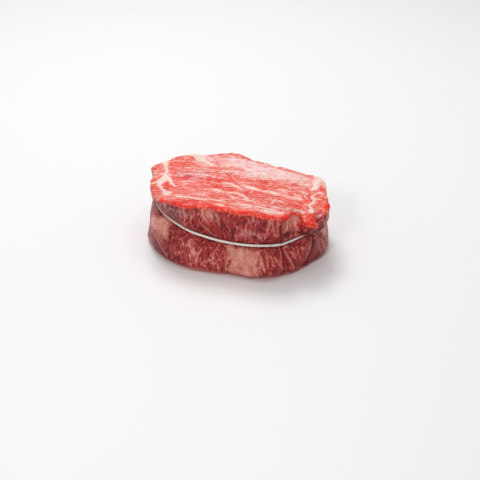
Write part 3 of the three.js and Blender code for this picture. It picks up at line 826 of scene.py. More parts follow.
def make_mesh(name: str, skin: Skin) -> bpy.types.Object:
    """Makes a smooth-shaded object.

    Args:
        name: Name of the object and its mesh.
        skin: Its skin.

    Returns:
        The object, linked to the scene.
    """
    mesh = bpy.data.meshes.new(name)
    mesh.from_pydata((skin.points * MM).tolist(), [], skin.faces.tolist() + skin.fan.tolist())
    mesh.shade_smooth()
    piece = bpy.data.objects.new(name, mesh)
    bpy.context.scene.collection.objects.link(piece)
    return piece


@dataclass(frozen=True)
class Layout:
    """Where the steak's skin goes when it is laid out flat.

    Attributes:
        columns: Columns of the side.
        rings: Rings of the side.
        side_faces: How many faces the side has.
        top_faces: How many faces the net of the upper face has.
        bottom_faces: How many four-sided faces the underside has.
    """

    columns: int
    rings: int
    side_faces: int
    top_faces: int
    bottom_faces: int

    SHEET = 312.0
    MARGIN = 3.0
    TOP_SCALE = 1.22
    UNDER_SCALE = 0.68
    STRIP = (298.0, 72.0)

    def lay(self, mesh: bpy.types.Mesh, skin: Skin) -> None:
        """Lays the skin out on the mesh: the upper face, the underside and the side in two strips.

        Args:
            mesh: The mesh that was made from the skin.
            skin: The skin.
        """
        places = np.empty((len(skin.faces), 4, 2))
        half = self.columns // 2
        column, ring = np.divmod(np.arange(self.side_faces), self.rings - 1)
        strip, start = np.divmod(column, half)
        corners_on = np.array([0, 1, 1, 0])
        corners_up = np.array([0, 0, 1, 1])
        across = (start[:, None] + corners_on) / half * self.STRIP[0]
        up = (ring[:, None] + corners_up) / (self.rings - 1) * self.STRIP[1]
        side = places[: self.side_faces]
        side[..., 0] = self.MARGIN + across
        side[..., 1] = self.MARGIN + up + strip[:, None] * (self.STRIP[1] + self.MARGIN)

        low = skin.points[:, :2].min(axis=0)
        shelf = 2 * (self.STRIP[1] + self.MARGIN) + self.MARGIN
        top_width = np.ptp(skin.points[:, 0]) * self.TOP_SCALE
        top_place = (skin.points[:, :2] - low) * self.TOP_SCALE + (self.MARGIN, shelf)
        under_start = (2 * self.MARGIN + top_width, shelf)
        under_place = (skin.points[:, :2] - low) * self.UNDER_SCALE + under_start
        end = self.side_faces + self.top_faces
        places[self.side_faces : end] = top_place[skin.faces[self.side_faces : end]]
        places[end:] = under_place[skin.faces[end:]]
        all_places = np.vstack([places.reshape(-1, 2), under_place[skin.fan].reshape(-1, 2)])
        layer = mesh.uv_layers.new(name="OFBake")
        layer.data.foreach_set("uv", (all_places / self.SHEET).astype(np.float32).ravel())


class Nodes:
    """A material's nodes, built by short calls that each give an output socket."""

    def __init__(self, name: str) -> None:
        """Starts a material with one surface shader.

        Args:
            name: The material's name.
        """
        self.material = bpy.data.materials.new(name)
        self.material.use_nodes = True
        self.tree = self.material.node_tree
        self.tree.nodes.clear()
        self.shader = self.add("ShaderNodeBsdfPrincipled")
        output = self.add("ShaderNodeOutputMaterial")
        self.tree.links.new(self.shader.outputs["BSDF"], output.inputs["Surface"])

    def add(self, kind: str, **settings: object) -> bpy.types.Node:
        """Adds a node with some of its settings."""
        node = self.tree.nodes.new(kind)
        for key, value in settings.items():
            setattr(node, key, value)
        return node

    def feed(self, target: bpy.types.NodeSocket, value: object) -> None:
        """Links a socket into a target, or sets the target to a value."""
        if isinstance(value, bpy.types.NodeSocket):
            self.tree.links.new(value, target)
        else:
            target.default_value = value

    def finish(self, **values: object) -> None:
        """Feeds the surface shader's sockets, named with _ for a space."""
        for key, value in values.items():
            self.feed(self.shader.inputs[key.replace("_", " ")], value)

    def mark(self, mark: Mark) -> bpy.types.NodeSocket:
        """Reads one of the skin's marks."""
        node = self.add("ShaderNodeAttribute", attribute_name=mark.value)
        return node.outputs["Vector" if mark in (Mark.GRAIN, Mark.LEAN) else "Fac"]

    def part(self, place: bpy.types.NodeSocket, axis: str) -> bpy.types.NodeSocket:
        """Gives one coordinate of a place."""
        node = self.add("ShaderNodeSeparateXYZ")
        self.feed(node.inputs[0], place)
        return node.outputs[axis]

    def place(self) -> bpy.types.NodeSocket:
        """Reads the place on the object, in mm."""
        node = self.add("ShaderNodeTexCoord")
        return self.stretch(node.outputs["Object"], (1 / MM, 1 / MM, 1 / MM))

    def stretch(
        self, vector: bpy.types.NodeSocket, scale: tuple[float, float, float]
    ) -> bpy.types.NodeSocket:
        """Multiplies a place by a scale along each axis."""
        node = self.add("ShaderNodeVectorMath", operation="MULTIPLY")
        self.feed(node.inputs[0], vector)
        self.feed(node.inputs[1], scale)
        return node.outputs[0]

    def shift(self, vector: bpy.types.NodeSocket, other: object) -> bpy.types.NodeSocket:
        """Adds to a place."""
        node = self.add("ShaderNodeVectorMath", operation="ADD")
        self.feed(node.inputs[0], vector)
        self.feed(node.inputs[1], other)
        return node.outputs[0]

    def sum(self, operation: str, first: object, second: object = 0.0) -> bpy.types.NodeSocket:
        """Does one sum on one or two numbers."""
        node = self.add("ShaderNodeMath", operation=operation)
        self.feed(node.inputs[0], first)
        self.feed(node.inputs[1], second)
        return node.outputs[0]

    def noise(
        self, vector: bpy.types.NodeSocket, size: float, detail: float = 2.0, **extra: float
    ) -> bpy.types.NodeSocket:
        """Adds noise with swells of a size, in the vector's unit, from 0 to 1."""
        node = self.add("ShaderNodeTexNoise")
        self.feed(node.inputs["Vector"], vector)
        self.feed(node.inputs["Scale"], 1.0 / size)
        self.feed(node.inputs["Detail"], detail)
        for key, value in extra.items():
            self.feed(node.inputs[key.capitalize()], value)
        return node.outputs["Fac"]

    def wander(self, vector: bpy.types.NodeSocket, size: float, reach: float) -> bpy.types.NodeSocket:
        """Moves a place about smoothly by noise of a size, up to about half of a reach each way."""
        node = self.add("ShaderNodeTexNoise")
        self.feed(node.inputs["Vector"], vector)
        self.feed(node.inputs["Scale"], 1.0 / size)
        centred = self.shift(node.outputs["Color"], (-0.5, -0.5, -0.5))
        return self.shift(vector, self.stretch(centred, (reach, reach, reach)))

    def sway(
        self, vector: bpy.types.NodeSocket, size: float, gain: float, detail: float = 2.0, **extra: float
    ) -> bpy.types.NodeSocket:
        """Gives noise that swings about 0, by up to about a third of a gain each way."""
        centred = self.sum("SUBTRACT", self.noise(vector, size, detail, **extra), 0.5)
        return self.sum("MULTIPLY", centred, gain)

    def net(self, vector: bpy.types.NodeSocket, size: float, width: float) -> bpy.types.NodeSocket:
        """Marks the borders of cells of a size, up to a width from them."""
        node = self.add("ShaderNodeTexVoronoi", feature="DISTANCE_TO_EDGE")
        self.feed(node.inputs["Vector"], vector)
        self.feed(node.inputs["Scale"], 1.0 / size)
        return self.grade(node.outputs["Distance"], 0.0, width / size, 1.0, 0.0)

    def lines(self, vector: bpy.types.NodeSocket, size: float, width: float) -> bpy.types.NodeSocket:
        """Gives thin winding lines, where noise of a size crosses its middle."""
        off = self.sum("ABSOLUTE", self.sway(vector, size, 1.0, 2.0, distortion=0.3))
        return self.grade(off, 0.0, width, 1.0, 0.0)

    def between(self, share: object, first: object, second: object) -> bpy.types.NodeSocket:
        """Blends two numbers by a share from 0 to 1."""
        return self.sum("ADD", first, self.sum("MULTIPLY", share, self.sum("SUBTRACT", second, first)))

    def total(self, *parts: object) -> bpy.types.NodeSocket:
        """Adds up some numbers."""
        result = parts[0]
        for part in parts[1:]:
            result = self.sum("ADD", result, part)
        return result

    def grade(
        self, value: object, low: float, high: float, start: float = 0.0, end: float = 1.0
    ) -> bpy.types.NodeSocket:
        """Goes smoothly from start at low to end at high."""
        node = self.add("ShaderNodeMapRange", interpolation_type="SMOOTHSTEP")
        for key, item in zip(("Value", "From Min", "From Max", "To Min", "To Max"), (value, low, high, start, end)):
            self.feed(node.inputs[key], item)
        return node.outputs["Result"]

    def blend(self, share: object, first: object, second: object) -> bpy.types.NodeSocket:
        """Blends two colours by a share from 0 to 1."""
        node = self.add("ShaderNodeMix", data_type="RGBA")
        self.feed(node.inputs["Factor"], share)
        for key, value in ((6, first), (7, second)):
            self.feed(node.inputs[key], value if isinstance(value, bpy.types.NodeSocket) else (*value, 1.0))
        return node.outputs[2]

    def tones(self, value: object, colours: tuple[Colour, ...]) -> bpy.types.NodeSocket:
        """Turns a number from 0 to 1 into a colour of an even row of colours."""
        node = self.add("ShaderNodeValToRGB")
        elements = node.color_ramp.elements
        while len(elements) < len(colours):
            elements.new(0.5)
        for step, (element, colour) in enumerate(zip(elements, colours)):
            element.position = step / (len(colours) - 1)
            element.color = (*colour, 1.0)
        self.feed(node.inputs["Fac"], value)
        return node.outputs["Color"]

    def bump(self, height: object, distance: float, strength: float = 1.0) -> bpy.types.NodeSocket:
        """Turns a height from 0 to 1 into bumps of a depth in metres."""
        node = self.add("ShaderNodeBump")
        self.feed(node.inputs["Height"], height)
        self.feed(node.inputs["Distance"], distance)
        self.feed(node.inputs["Strength"], strength)
        return node.outputs["Normal"]


@dataclass(frozen=True)
class MeatFinish:
    """Raw beef: wet red flesh in fine bundles, with pinkish cream fat.

    Each field is a row of colours from the deepest to the palest. The side's rows are darker than the cut faces'
    partly as painted shade, for the side gets less light than the upper face.

    Attributes:
        face: Flesh of the cut faces.
        cool_sheen: Flesh of the cut faces in their plum areas, cooler and paler as a painted sheen of the light
            from behind.
        rim: Bright flesh along the front rim, partly a painted glow of light through the thin edge.
        side: Flesh of the side.
        blood: Wet red flesh of the side.
        plum: Dried, purplish flesh.
        fat: Fat of the cut faces.
        side_fat: Fat of the side.
    """

    face: tuple[Colour, ...] = (
        (0.78, 0.020, 0.008),
        (0.82, 0.058, 0.032),
        (0.86, 0.135, 0.095),
        (0.90, 0.270, 0.222),
        (0.93, 0.455, 0.415),
        (0.97, 0.700, 0.670),
    )
    cool_sheen: tuple[Colour, ...] = (
        (0.66, 0.032, 0.026),
        (0.75, 0.115, 0.108),
        (0.83, 0.270, 0.265),
        (0.90, 0.500, 0.510),
        (0.96, 0.750, 0.755),
    )
    rim: tuple[Colour, ...] = ((0.84, 0.013, 0.007), (0.98, 0.068, 0.030), (0.98, 0.280, 0.190))
    side: tuple[Colour, ...] = (
        (0.12, 0.002, 0.005),
        (0.26, 0.007, 0.011),
        (0.41, 0.026, 0.028),
        (0.55, 0.080, 0.072),
        (0.68, 0.200, 0.172),
        (0.84, 0.430, 0.380),
    )
    blood: tuple[Colour, ...] = ((0.22, 0.004, 0.006), (0.46, 0.024, 0.022), (0.68, 0.18, 0.15))
    plum: tuple[Colour, ...] = ((0.13, 0.010, 0.016), (0.26, 0.050, 0.060), (0.66, 0.370, 0.400))
    fat: tuple[Colour, ...] = ((0.88, 0.410, 0.325), (0.92, 0.645, 0.560), (0.95, 0.800, 0.735))
    side_fat: tuple[Colour, ...] = ((0.56, 0.105, 0.075), (0.72, 0.230, 0.172), (0.84, 0.400, 0.325))

    def material(self) -> bpy.types.Material:
        """Builds the material."""
        n = Nodes("raw_beef")
        place = n.place()
        grain = n.mark(Mark.GRAIN)
        side = n.mark(Mark.SIDE)
        leaning = n.wander(n.mark(Mark.LEAN), 42.0, 20.0)
        wander = n.total(n.sway(place, 1.2, 1.6, 2.0), n.sway(place, 5.0, 2.2))
        spread = n.total(wander, n.sway(n.stretch(place, (1.0, 1.0, 0.6)), 6.0, 13.0, 3.0))
        ragged = n.between(
            side,
            n.sway(n.stretch(grain, (0.28, 1.0, 1.0)), 2.2, 1.8, 3.0),
            n.sway(n.stretch(leaning, (1.0, 1.0, 0.30)), 2.2, 1.6, 3.0),
        )
        fat_depth = n.mark(Mark.FAT)
        # Painted shade: creases are darkened in colour as well as sunk in the relief.
        crease = n.grade(n.mark(Mark.CREASE), -0.6, 0.9)
        # On the cut face the pale mark is mostly painted sheen.
        pale = n.grade(n.total(n.mark(Mark.PALE_AND_SHEEN), ragged), 0.05, 0.95)
        red = n.grade(n.total(n.mark(Mark.RED), ragged), 0.10, 0.90)
        plum = n.grade(n.total(n.mark(Mark.PLUM), ragged), 0.10, 0.80)
        web = n.grade(n.total(n.mark(Mark.WEB), ragged), 0.15, 0.75)
        # Part of the deep mark is painted shade under overhangs.
        deep = n.sum("MULTIPLY", n.grade(n.total(n.mark(Mark.DEEP), ragged), 0.05, 0.95), -0.22)
        edge = n.total(n.mark(Mark.EDGE), n.sum("MULTIPLY", plum, -0.8))
        shade = n.grade(edge, 0.55, 1.0)

        halo = n.grade(n.total(fat_depth, wander), -3.2, 0.0, 0.0, 0.16)
        # Pale specks in the web areas: fine fat, with painted glints of the wet flesh.
        specks_and_glints = n.net(n.wander(n.stretch(grain, (0.40, 1.0, 1.0)), 1.2, 1.4), 1.7, 0.30)
        specks_and_glints = n.sum("MULTIPLY", specks_and_glints, n.sum("MULTIPLY", web, n.grade(n.noise(place, 2.2), 0.42, 0.56)))
        cleft = n.lines(n.stretch(grain, (0.20, 1.0, 1.0)), 4.6, 0.020)
        cleft = n.sum("MULTIPLY", cleft, n.grade(n.noise(place, 8.0), 0.42, 0.60))
        # Pale flecks along the fibres: fine marbling, and painted glints of the wet flesh.
        flecks_and_glints = n.grade(n.noise(n.stretch(grain, (0.26, 1.0, 1.0)), 1.3, 1.0), 0.54, 0.64)
        flecks_and_glints = n.sum("MULTIPLY", flecks_and_glints, n.grade(n.noise(place, 9.0), 0.38, 0.60, 0.08, 0.28))
        face_tone = n.total(
            0.35,
            n.sway(n.stretch(grain, (0.12, 1.0, 1.0)), 1.9, 1.1, 2.0, roughness=0.5),
            n.sway(n.stretch(grain, (0.40, 1.0, 1.0)), 1.4, 1.2, 1.0),
            n.sum("MULTIPLY", n.lines(n.stretch(grain, (0.07, 1.0, 1.0)), 2.3, 0.055), 0.26),
            n.sum("MULTIPLY", n.lines(n.stretch(grain, (0.09, 1.0, 1.0)), 1.9, 0.06), -0.24),
            n.sum("MULTIPLY", n.lines(n.stretch(grain, (0.11, 1.1, 1.1)), 1.2, 0.07), 0.20),
            n.sum("MULTIPLY", n.lines(n.stretch(grain, (0.13, 1.2, 1.2)), 1.2, 0.07), -0.20),
            n.sum("MULTIPLY", pale, 0.54),
            n.sum("MULTIPLY", red, -0.26),
            n.sum("MULTIPLY", specks_and_glints, 0.42),
            n.sum("MULTIPLY", shade, -0.28),
            flecks_and_glints,
            n.sum("MULTIPLY", cleft, -0.16),
            n.sum("MULTIPLY", crease, -0.20),
            deep,
            halo,
        )
        drips = n.sway(n.stretch(place, (1.0, 1.0, 0.35)), 2.2, 2.4, 2.0)
        # The front rim and the lobe take the bright rim row: the cut edge's red, partly a painted glow.
        rim = n.grade(n.total(edge, drips), 0.34, 0.58)
        # Painted sheen: the cut face's plum areas take the cool sheen row.
        face_flesh = n.blend(plum, n.tones(face_tone, self.face), n.tones(face_tone, self.cool_sheen))
        face_flesh = n.blend(rim, face_flesh, n.tones(n.total(face_tone, drips), self.rim))
        wisps = n.total(
            n.lines(n.stretch(grain, (0.13, 1.0, 1.0)), 5.2, 0.018),
            n.lines(n.stretch(grain, (0.18, 1.0, 1.0)), 2.8, 0.020),
        )
        wisps = n.sum("MULTIPLY", wisps, n.grade(n.noise(place, 7.0), 0.46, 0.62, 0.0, 0.6))
        face_fat = n.sum("MAXIMUM", n.grade(n.total(fat_depth, wander), -0.5, 0.5), wisps)

        strands = n.sum(
            "MAXIMUM",
            n.lines(n.wander(n.stretch(leaning, (1.0, 1.0, 0.16)), 2.6, 2.0), 5.4, 0.020),
            n.lines(n.wander(n.stretch(leaning, (1.0, 1.0, 0.20)), 2.0, 1.4), 3.6, 0.022),
        )
        strands = n.sum("MULTIPLY", strands, n.grade(n.noise(place, 7.0), 0.44, 0.60, 0.0, 0.36))
        patchy = n.grade(n.noise(place, 6.0), 0.34, 0.50, 0.30, 0.46)
        mesh = n.net(n.wander(n.stretch(leaning, (1.0, 1.0, 0.30)), 3.2, 3.4), 3.4, 0.50)
        mesh = n.sum("MULTIPLY", mesh, n.sum("MULTIPLY", web, patchy))
        # Painted glints: pale dots in the side's plum areas, where the wet flesh catches the light.
        glint_dots = n.grade(n.noise(n.stretch(leaning, (1.0, 1.0, 0.55)), 1.6, 1.0), 0.55, 0.65, 0.0, 0.5)
        mesh = n.sum("MAXIMUM", mesh, n.sum("MULTIPLY", glint_dots, plum))
        veil = n.grade(n.noise(n.stretch(leaning, (1.0, 1.0, 0.35)), 7.5, 2.0), 0.50, 0.66, 0.0, 0.22)
        pool = n.grade(n.noise(n.stretch(leaning, (1.0, 1.0, 0.50)), 9.0, 2.0), 0.36, 0.52, -0.14, 0.0)
        # Painted shade: the side darkens towards the ground.
        low = n.grade(n.part(place, "Z"), 0.3, 7.0, -0.16, 0.0)
        bent = n.wander(n.stretch(leaning, (1.0, 1.0, 0.13)), 3.0, 1.2)
        streaks = n.total(
            n.sway(n.stretch(leaning, (1.0, 1.0, 0.14)), 2.4, 1.0, 2.0, roughness=0.5),
            n.sway(n.stretch(leaning, (1.0, 1.0, 0.17)), 1.0, 1.4, 1.0),
            n.sum("MULTIPLY", n.lines(bent, 4.2, 0.04), 0.24),
            n.sum("MULTIPLY", n.lines(n.stretch(bent, (1.3, 1.3, 1.1)), 4.0, 0.04), -0.16),
        )
        side_tone = n.total(
            0.29,
            n.sum("MULTIPLY", n.total(streaks, veil, pool), n.grade(web, 0.0, 1.0, 1.0, 0.6)),
            n.sum("MULTIPLY", pale, 0.28),
            n.sum("MULTIPLY", crease, -0.40),
            deep,
            n.sum("MAXIMUM", strands, mesh),
            low,
        )
        side_flesh = n.blend(red, n.tones(side_tone, self.side), n.tones(side_tone, self.blood))
        side_flesh = n.blend(plum, side_flesh, n.tones(side_tone, self.plum))
        side_flesh = n.blend(rim, side_flesh, n.tones(n.total(side_tone, drips), self.rim))
        side_fat = n.grade(n.total(fat_depth, spread), -1.6, 2.6)
        side_fat = n.sum("MULTIPLY", side_fat, n.grade(deep, -0.20, 0.0, 0.35, 1.0))

        vein = n.grade(n.total(n.mark(Mark.VEIN), n.sway(place, 1.6, 1.3, 2.0)), -0.5, 0.5, 0.0, 0.65)
        flesh = n.blend(side, face_flesh, side_flesh)
        face_fat_tone = n.total(0.66, n.sway(place, 1.8, 2.0, 3.0), n.sum("MULTIPLY", red, -0.5))
        face_fat_colour = n.tones(face_fat_tone, self.fat)
        mottle = n.total(n.sway(place, 4.5, 1.6), n.sway(place, 1.5, 0.7))
        side_fat_tone = n.total(0.24, n.sum("MULTIPLY", side_tone, 0.5), n.sum("MULTIPLY", vein, 0.3), mottle)
        side_fat_tone = n.total(side_fat_tone, n.grade(fat_depth, -1.0, 5.0, -0.04, 0.20))
        fat_colour = n.blend(side, face_fat_colour, n.tones(side_fat_tone, self.side_fat))
        fat = n.sum("MAXIMUM", n.between(side, face_fat, side_fat), vein)

        fibres = n.total(
            n.noise(n.stretch(grain, (0.35, 1.0, 1.0)), 0.8, 3.0),
            n.noise(n.stretch(grain, (0.50, 1.0, 1.0)), 2.0),
            n.sum("MULTIPLY", cleft, -0.25),
        )
        pleats = n.total(
            n.noise(n.stretch(leaning, (1.0, 1.0, 0.25)), 0.8, 3.0),
            n.noise(n.stretch(leaning, (1.0, 1.0, 0.20)), 2.0),
            n.sum("MULTIPLY", n.sum("MAXIMUM", strands, mesh), 0.5),
        )
        n.finish(
            Base_Color=n.blend(fat, flesh, fat_colour),
            Roughness=n.grade(n.noise(place, 1.6, 3.0), 0.3, 0.7, 0.10, 0.38),
            Specular_IOR_Level=0.30,
            Subsurface_Weight=0.08,
            Subsurface_Radius=(1.0, 0.30, 0.22),
            Subsurface_Scale=1.3 * MM,
            Normal=n.bump(n.between(side, fibres, pleats), 1.0 * MM),
        )
        return n.material


@dataclass(frozen=True)
class StringFinish:
    """Off-white cotton: matt fine fibres, stained where it is wet, and darker towards its left end as painted
    shade.

    Attributes:
        clean: Dry cotton.
        damp_and_shade: Cotton that has soaked up a little juice, also laid on as painted shade towards the string's
            left end.
    """

    clean: Colour = (0.87, 0.84, 0.78)
    damp_and_shade: Colour = (0.56, 0.40, 0.33)

    def material(self) -> bpy.types.Material:
        """Builds the material."""
        n = Nodes("cotton_string")
        place = n.place()
        stain_and_shade = n.grade(n.noise(place, 6.0, 3.0), 0.52, 0.72, 0.0, 0.6)
        # Painted shade: the string darkens towards its left end, where it turns into the shade.
        stain_and_shade = n.sum("MAXIMUM", stain_and_shade, n.grade(n.part(place, "X"), -64.0, -34.0, 0.9, 0.0))
        fibres = n.noise(n.stretch(place, (1.0, 1.0, 2.0)), 0.22, 3.0)
        n.finish(
            Base_Color=n.blend(stain_and_shade, self.clean, self.damp_and_shade),
            Roughness=0.85,
            Subsurface_Weight=0.1,
            Subsurface_Radius=(1.0, 0.8, 0.6),
            Subsurface_Scale=0.6 * MM,
            Normal=n.bump(fibres, 0.12 * MM),
        )
        return n.material


@dataclass(frozen=True)
class FloorFinish:
    """A plain pale surface.

    Attributes:
        colour: Its colour.
    """

    colour: Colour = (0.82, 0.82, 0.815)

    def material(self) -> bpy.types.Material:
        """Builds the material."""
        n = Nodes("pale_floor")
        n.finish(Base_Color=(*self.colour, 1.0), Roughness=0.6)
        return n.material


def blur(values: Array, size: float, axis: int, wrap: bool = False) -> Array:
    """Blurs an array along one axis with a bell curve.

    Args:
        values: The array.
        size: Width of the bell curve, in steps of the array.
        axis: Which axis is blurred.
        wrap: Whether the axis closes on itself.

    Returns:
        The blurred array.
    """
    reach = math.ceil(3 * size)
    bell = np.exp(-0.5 * (np.arange(-reach, reach + 1) / size) ** 2)
    pad = [(0, 0)] * values.ndim
    pad[axis] = (reach, reach)
    padded = np.pad(values, pad, mode="wrap" if wrap else "edge")
    length = values.shape[axis]
    shifted = (np.take(padded, range(k, k + length), axis) for k in range(len(bell)))
    return sum(weight * part for weight, part in zip(bell / bell.sum(), shifted))


@dataclass
class FaceHeights:
    """The upper cut face's height over the ground, with its solid's flat faces smoothed out.

    Attributes:
        solid: The steak's solid.
        step: Distance between its samples, in mm.
        smooth: Width over which the heights are smoothed, in mm.
        reach: Half the length and half the width that are sampled, in mm.
    """

    solid: Solid
    step: float = 1.0
    smooth: float = 3.2
    reach: tuple[float, float] = (78.0, 67.0)

    ABOVE = 90.0
    HIGHEST = 60.0
    STEEPEST = 0.35

    def __post_init__(self) -> None:
        """Samples the face from above, and smooths the heights within its edge."""
        x, y = (np.arange(-half, half, self.step) for half in self.reach)
        grid = np.stack(np.meshgrid(x, y, indexing="ij"), axis=-1).reshape(-1, 2)
        above = np.column_stack([grid, np.full(len(grid), self.ABOVE)])
        heights = self.solid.hits(above, np.tile((0.0, 0.0, -1.0), (len(above), 1)))[:, 2]
        heights = heights.reshape(len(x), len(y))
        slope = np.hypot(*np.gradient(heights, self.step))
        inside = ((heights < self.HIGHEST) & (slope < self.STEEPEST)).astype(float)
        width = self.smooth / self.step
        total = blur(blur(heights * inside, width, 0), width, 1)
        share = blur(blur(inside, width, 0), width, 1)
        self.heights = total / np.maximum(share, 1e-6)

    def at(self, places: Array) -> Array:
        """Reads the smoothed height at places on the face."""
        spot = (places[:, :2] + np.array(self.reach)) / self.step
        cell = np.clip(np.floor(spot).astype(int), 0, np.array(self.heights.shape) - 2)
        (u, v), (i, j) = (spot - cell).T, cell.T
        low = mix(self.heights[i, j], self.heights[i + 1, j], u)
        high = mix(self.heights[i, j + 1], self.heights[i + 1, j + 1], u)
        return mix(low, high, v)


@dataclass(frozen=True)
class Lip:
    """A fold of meat that hangs over the string.

    Attributes:
        angle: Its middle, in degrees.
        half: Half its width, in degrees.
        out: How far it stands out, in mm.
        down: How far it hangs down, in mm.
    """

    angle: float
    half: float
    out: float
    down: float


@dataclass(frozen=True)
class Lobe:
    """A round swelling of the side or, where it stands out by less than nothing, a hollow.

    Attributes:
        angle: Its middle's angle, in degrees.
        height: Its middle's height, in mm.
        halves: Half its width round the side and half its height, in mm.
        out: How far it stands out, in mm.
    """

    angle: float
    height: float
    halves: tuple[float, float]
    out: float


@dataclass(frozen=True)
class Bite:
    """A piece that is missing from the front rim, with a slanting floor.

    Attributes:
        start: Between which places along X it deepens.
        end: Between which places along X it ends.
        depth: How far back the rim is cut, in mm.
        reach: Places along Y between which the face is drawn together, from the back to the rim.
        rise: Heights between which it deepens, in mm.
    """

    start: tuple[float, float]
    end: tuple[float, float]
    depth: float
    reach: tuple[float, float]
    rise: tuple[float, float]

    def cut(self, points: Array) -> Array:
        """Tells how far back each point is moved."""
        x, y, z = points.T
        across = smoothstep(x, *self.start) * (1.0 - smoothstep(x, *self.end))
        back = np.clip((self.reach[0] - y) / (self.reach[0] - self.reach[1]), 0.0, 1.0)
        return self.depth * across * back * smoothstep(z, *self.rise)


@dataclass(frozen=True)
class Swell:
    """One size of the meat's relief.

    Attributes:
        height: How far it rises and sinks, in mm.
        widths: Its widths along the fibres, across them and, on the side, upward, in mm.
    """

    height: float
    widths: tuple[float, float, float]


@dataclass
class Steak:
    """The meat's visible skin, laid over its solid with folds, fibres and marks for its finish.

    Attributes:
        pole: Where the upright axis of its profiles stands.
        squares: How many squares line each side of the upper face's net.
        rays: How many rays feel out each profile.
        inset: How far inside the side the rays start, which is where the net of squares starts.
        core_height: Height at which the rays start.
        foot_top: Height at which the rounded foot ends.
        rings: Rings round the underside's edge, the side below and above the string, and the rim.
        under: Rings of the underside, as shares of its edge's distance from the pole.
        lips: Folds that hang over the string.
        lobes: Swellings and hollows of the side.
        bite: The notch in the front rim.
        fibre_turn: How far the fibres of the upper face are turned from X, in degrees.
        face_swells: Relief of the cut faces.
        side_swells: Relief of the side.
        rim_swells: How raggedly the rim is cut.
        heaps: Mounds and hollows of the upper face. The strength of each is its height in mm.
        gathers: Small folds that the string presses up beside it.
        leans: Where the side's fibres lean. The strength of each is how far they lean round, in mm
            for each mm downward.
    """

    pole: tuple[float, float] = (0.82, 0.65)
    squares: int = 160
    rays: int = 300
    inset: float = 16.0
    core_height: float = 27.0
    foot_top: float = 4.0
    rings: tuple[int, int, int, int] = (8, 36, 32, 20)
    under: tuple[float, ...] = (0.75, 0.5, 0.25)
    lips: tuple[Lip, ...] = (
        Lip(-22.5, 14.5, 3.4, 4.2),
        Lip(-57.8, 1.7, 1.2, 1.6),
        Lip(-168.0, 11.0, 0.9, 1.5),
        Lip(2.0, 8.0, 1.6, 2.0),
        Lip(58.0, 4.0, 1.4, 1.6),
        Lip(121.0, 7.0, 1.2, 1.4),
    )
    lobes: tuple[Lobe, ...] = (
        Lobe(-42.4, 43.0, (6.4, 7.5), 2.6),
        Lobe(-33.5, 38.5, (4.5, 6.0), -2.6),
        Lobe(-30.5, 45.0, (5.0, 7.0), -3.0),
        Lobe(-35.2, 42.0, (3.0, 7.0), -2.6),
        Lobe(-56.0, 43.0, (5.0, 7.0), -0.8),
        Lobe(-168.0, 24.0, (14.0, 12.0), 0.9),
        Lobe(-88.0, 14.0, (16.0, 11.0), 0.8),
        Lobe(-67.0, 13.0, (9.0, 11.0), 0.9),
        Lobe(-48.0, 12.0, (8.0, 11.0), 0.8),
        Lobe(-57.0, 2.0, (2.6, 6.0), -2.0),
        Lobe(-40.5, 2.0, (2.6, 6.0), -1.8),
        Lobe(-63.0, 3.0, (7.0, 5.0), -1.2),
        Lobe(-71.0, 1.0, (9.0, 4.0), -2.4),
        Lobe(35.0, 42.0, (12.0, 7.0), 1.0),
        Lobe(24.0, 12.0, (10.0, 9.0), 0.9),
        Lobe(52.0, 17.0, (12.0, 10.0), 1.1),
        Lobe(80.0, 14.0, (14.0, 9.0), 1.1),
        Lobe(84.0, 43.0, (11.0, 6.0), 0.9),
        Lobe(106.0, 22.0, (9.0, 12.0), -1.0),
        Lobe(128.0, 16.0, (12.0, 12.0), 1.2),
        Lobe(145.0, 44.0, (13.0, 7.0), 1.0),
        Lobe(160.0, 18.0, (9.0, 10.0), 0.9),
    )
    bite: Bite = Bite((38.5, 42.5), (47.6, 49.8), 10.5, (-30.0, -52.0), (35.5, 46.5))
    fibre_turn: float = -14.0
    face_swells: tuple[Swell, ...] = (
        Swell(0.13, (3.6, 2.0, 2.0)),
        Swell(0.24, (6.5, 2.9, 2.9)),
        Swell(0.28, (12.0, 5.5, 5.5)),
        Swell(0.40, (20.0, 15.0, 15.0)),
    )
    side_swells: tuple[Swell, ...] = (
        Swell(0.22, (2.4, 2.4, 9.0)),
        Swell(0.35, (5.0, 5.0, 14.0)),
        Swell(0.55, (15.0, 15.0, 13.0)),
    )
    rim_swells: tuple[Swell, ...] = (Swell(0.50, (2.6, 2.6, 5.0)), Swell(0.70, (6.5, 6.5, 7.0)))
    gathers: tuple[Swell, ...] = (Swell(0.65, (3.4, 3.4, 30.0)),)
    heaps: tuple[Patch, ...] = (
        Patch((55.5, -43.5), (6, 6), 0, 2.4),
        Patch((55.5, -52), (8, 3.5), 0, -2.2),
        Patch((65.5, -41), (3.4, 7), -30, -1.8),
        Patch((57, -30), (2.4, 7), 20, 0.5),
        Patch((-42, 50), (17, 6), -12, 1.3),
        Patch((69, 14), (8, 11), 18, 2.2),
    )
    leans: tuple[Patch, ...] = (
        side_patch(-118, 42, 24, 15, 0, 0.65),
        side_patch(-160, 12, 14, 14, 0, 0.5),
        side_patch(-68, 41, 8, 12, 0, -0.3),
        side_patch(-48, 14, 9, 13, 0, 0.5),
        side_patch(-26, 14, 10, 14, 0, 0.5),
        side_patch(95, 20, 20, 16, 0, -0.4),
        side_patch(40, 40, 20, 12, 0, 0.4),
        side_patch(160, 40, 20, 12, 0, -0.4),
    )

    def __post_init__(self) -> None:
        """Reads the solids and draws the noise."""
        self.solid = Solid("steak")
        self.face = FaceHeights(self.solid)
        self.string = StringCourse()
        self.noise = Noise(3)

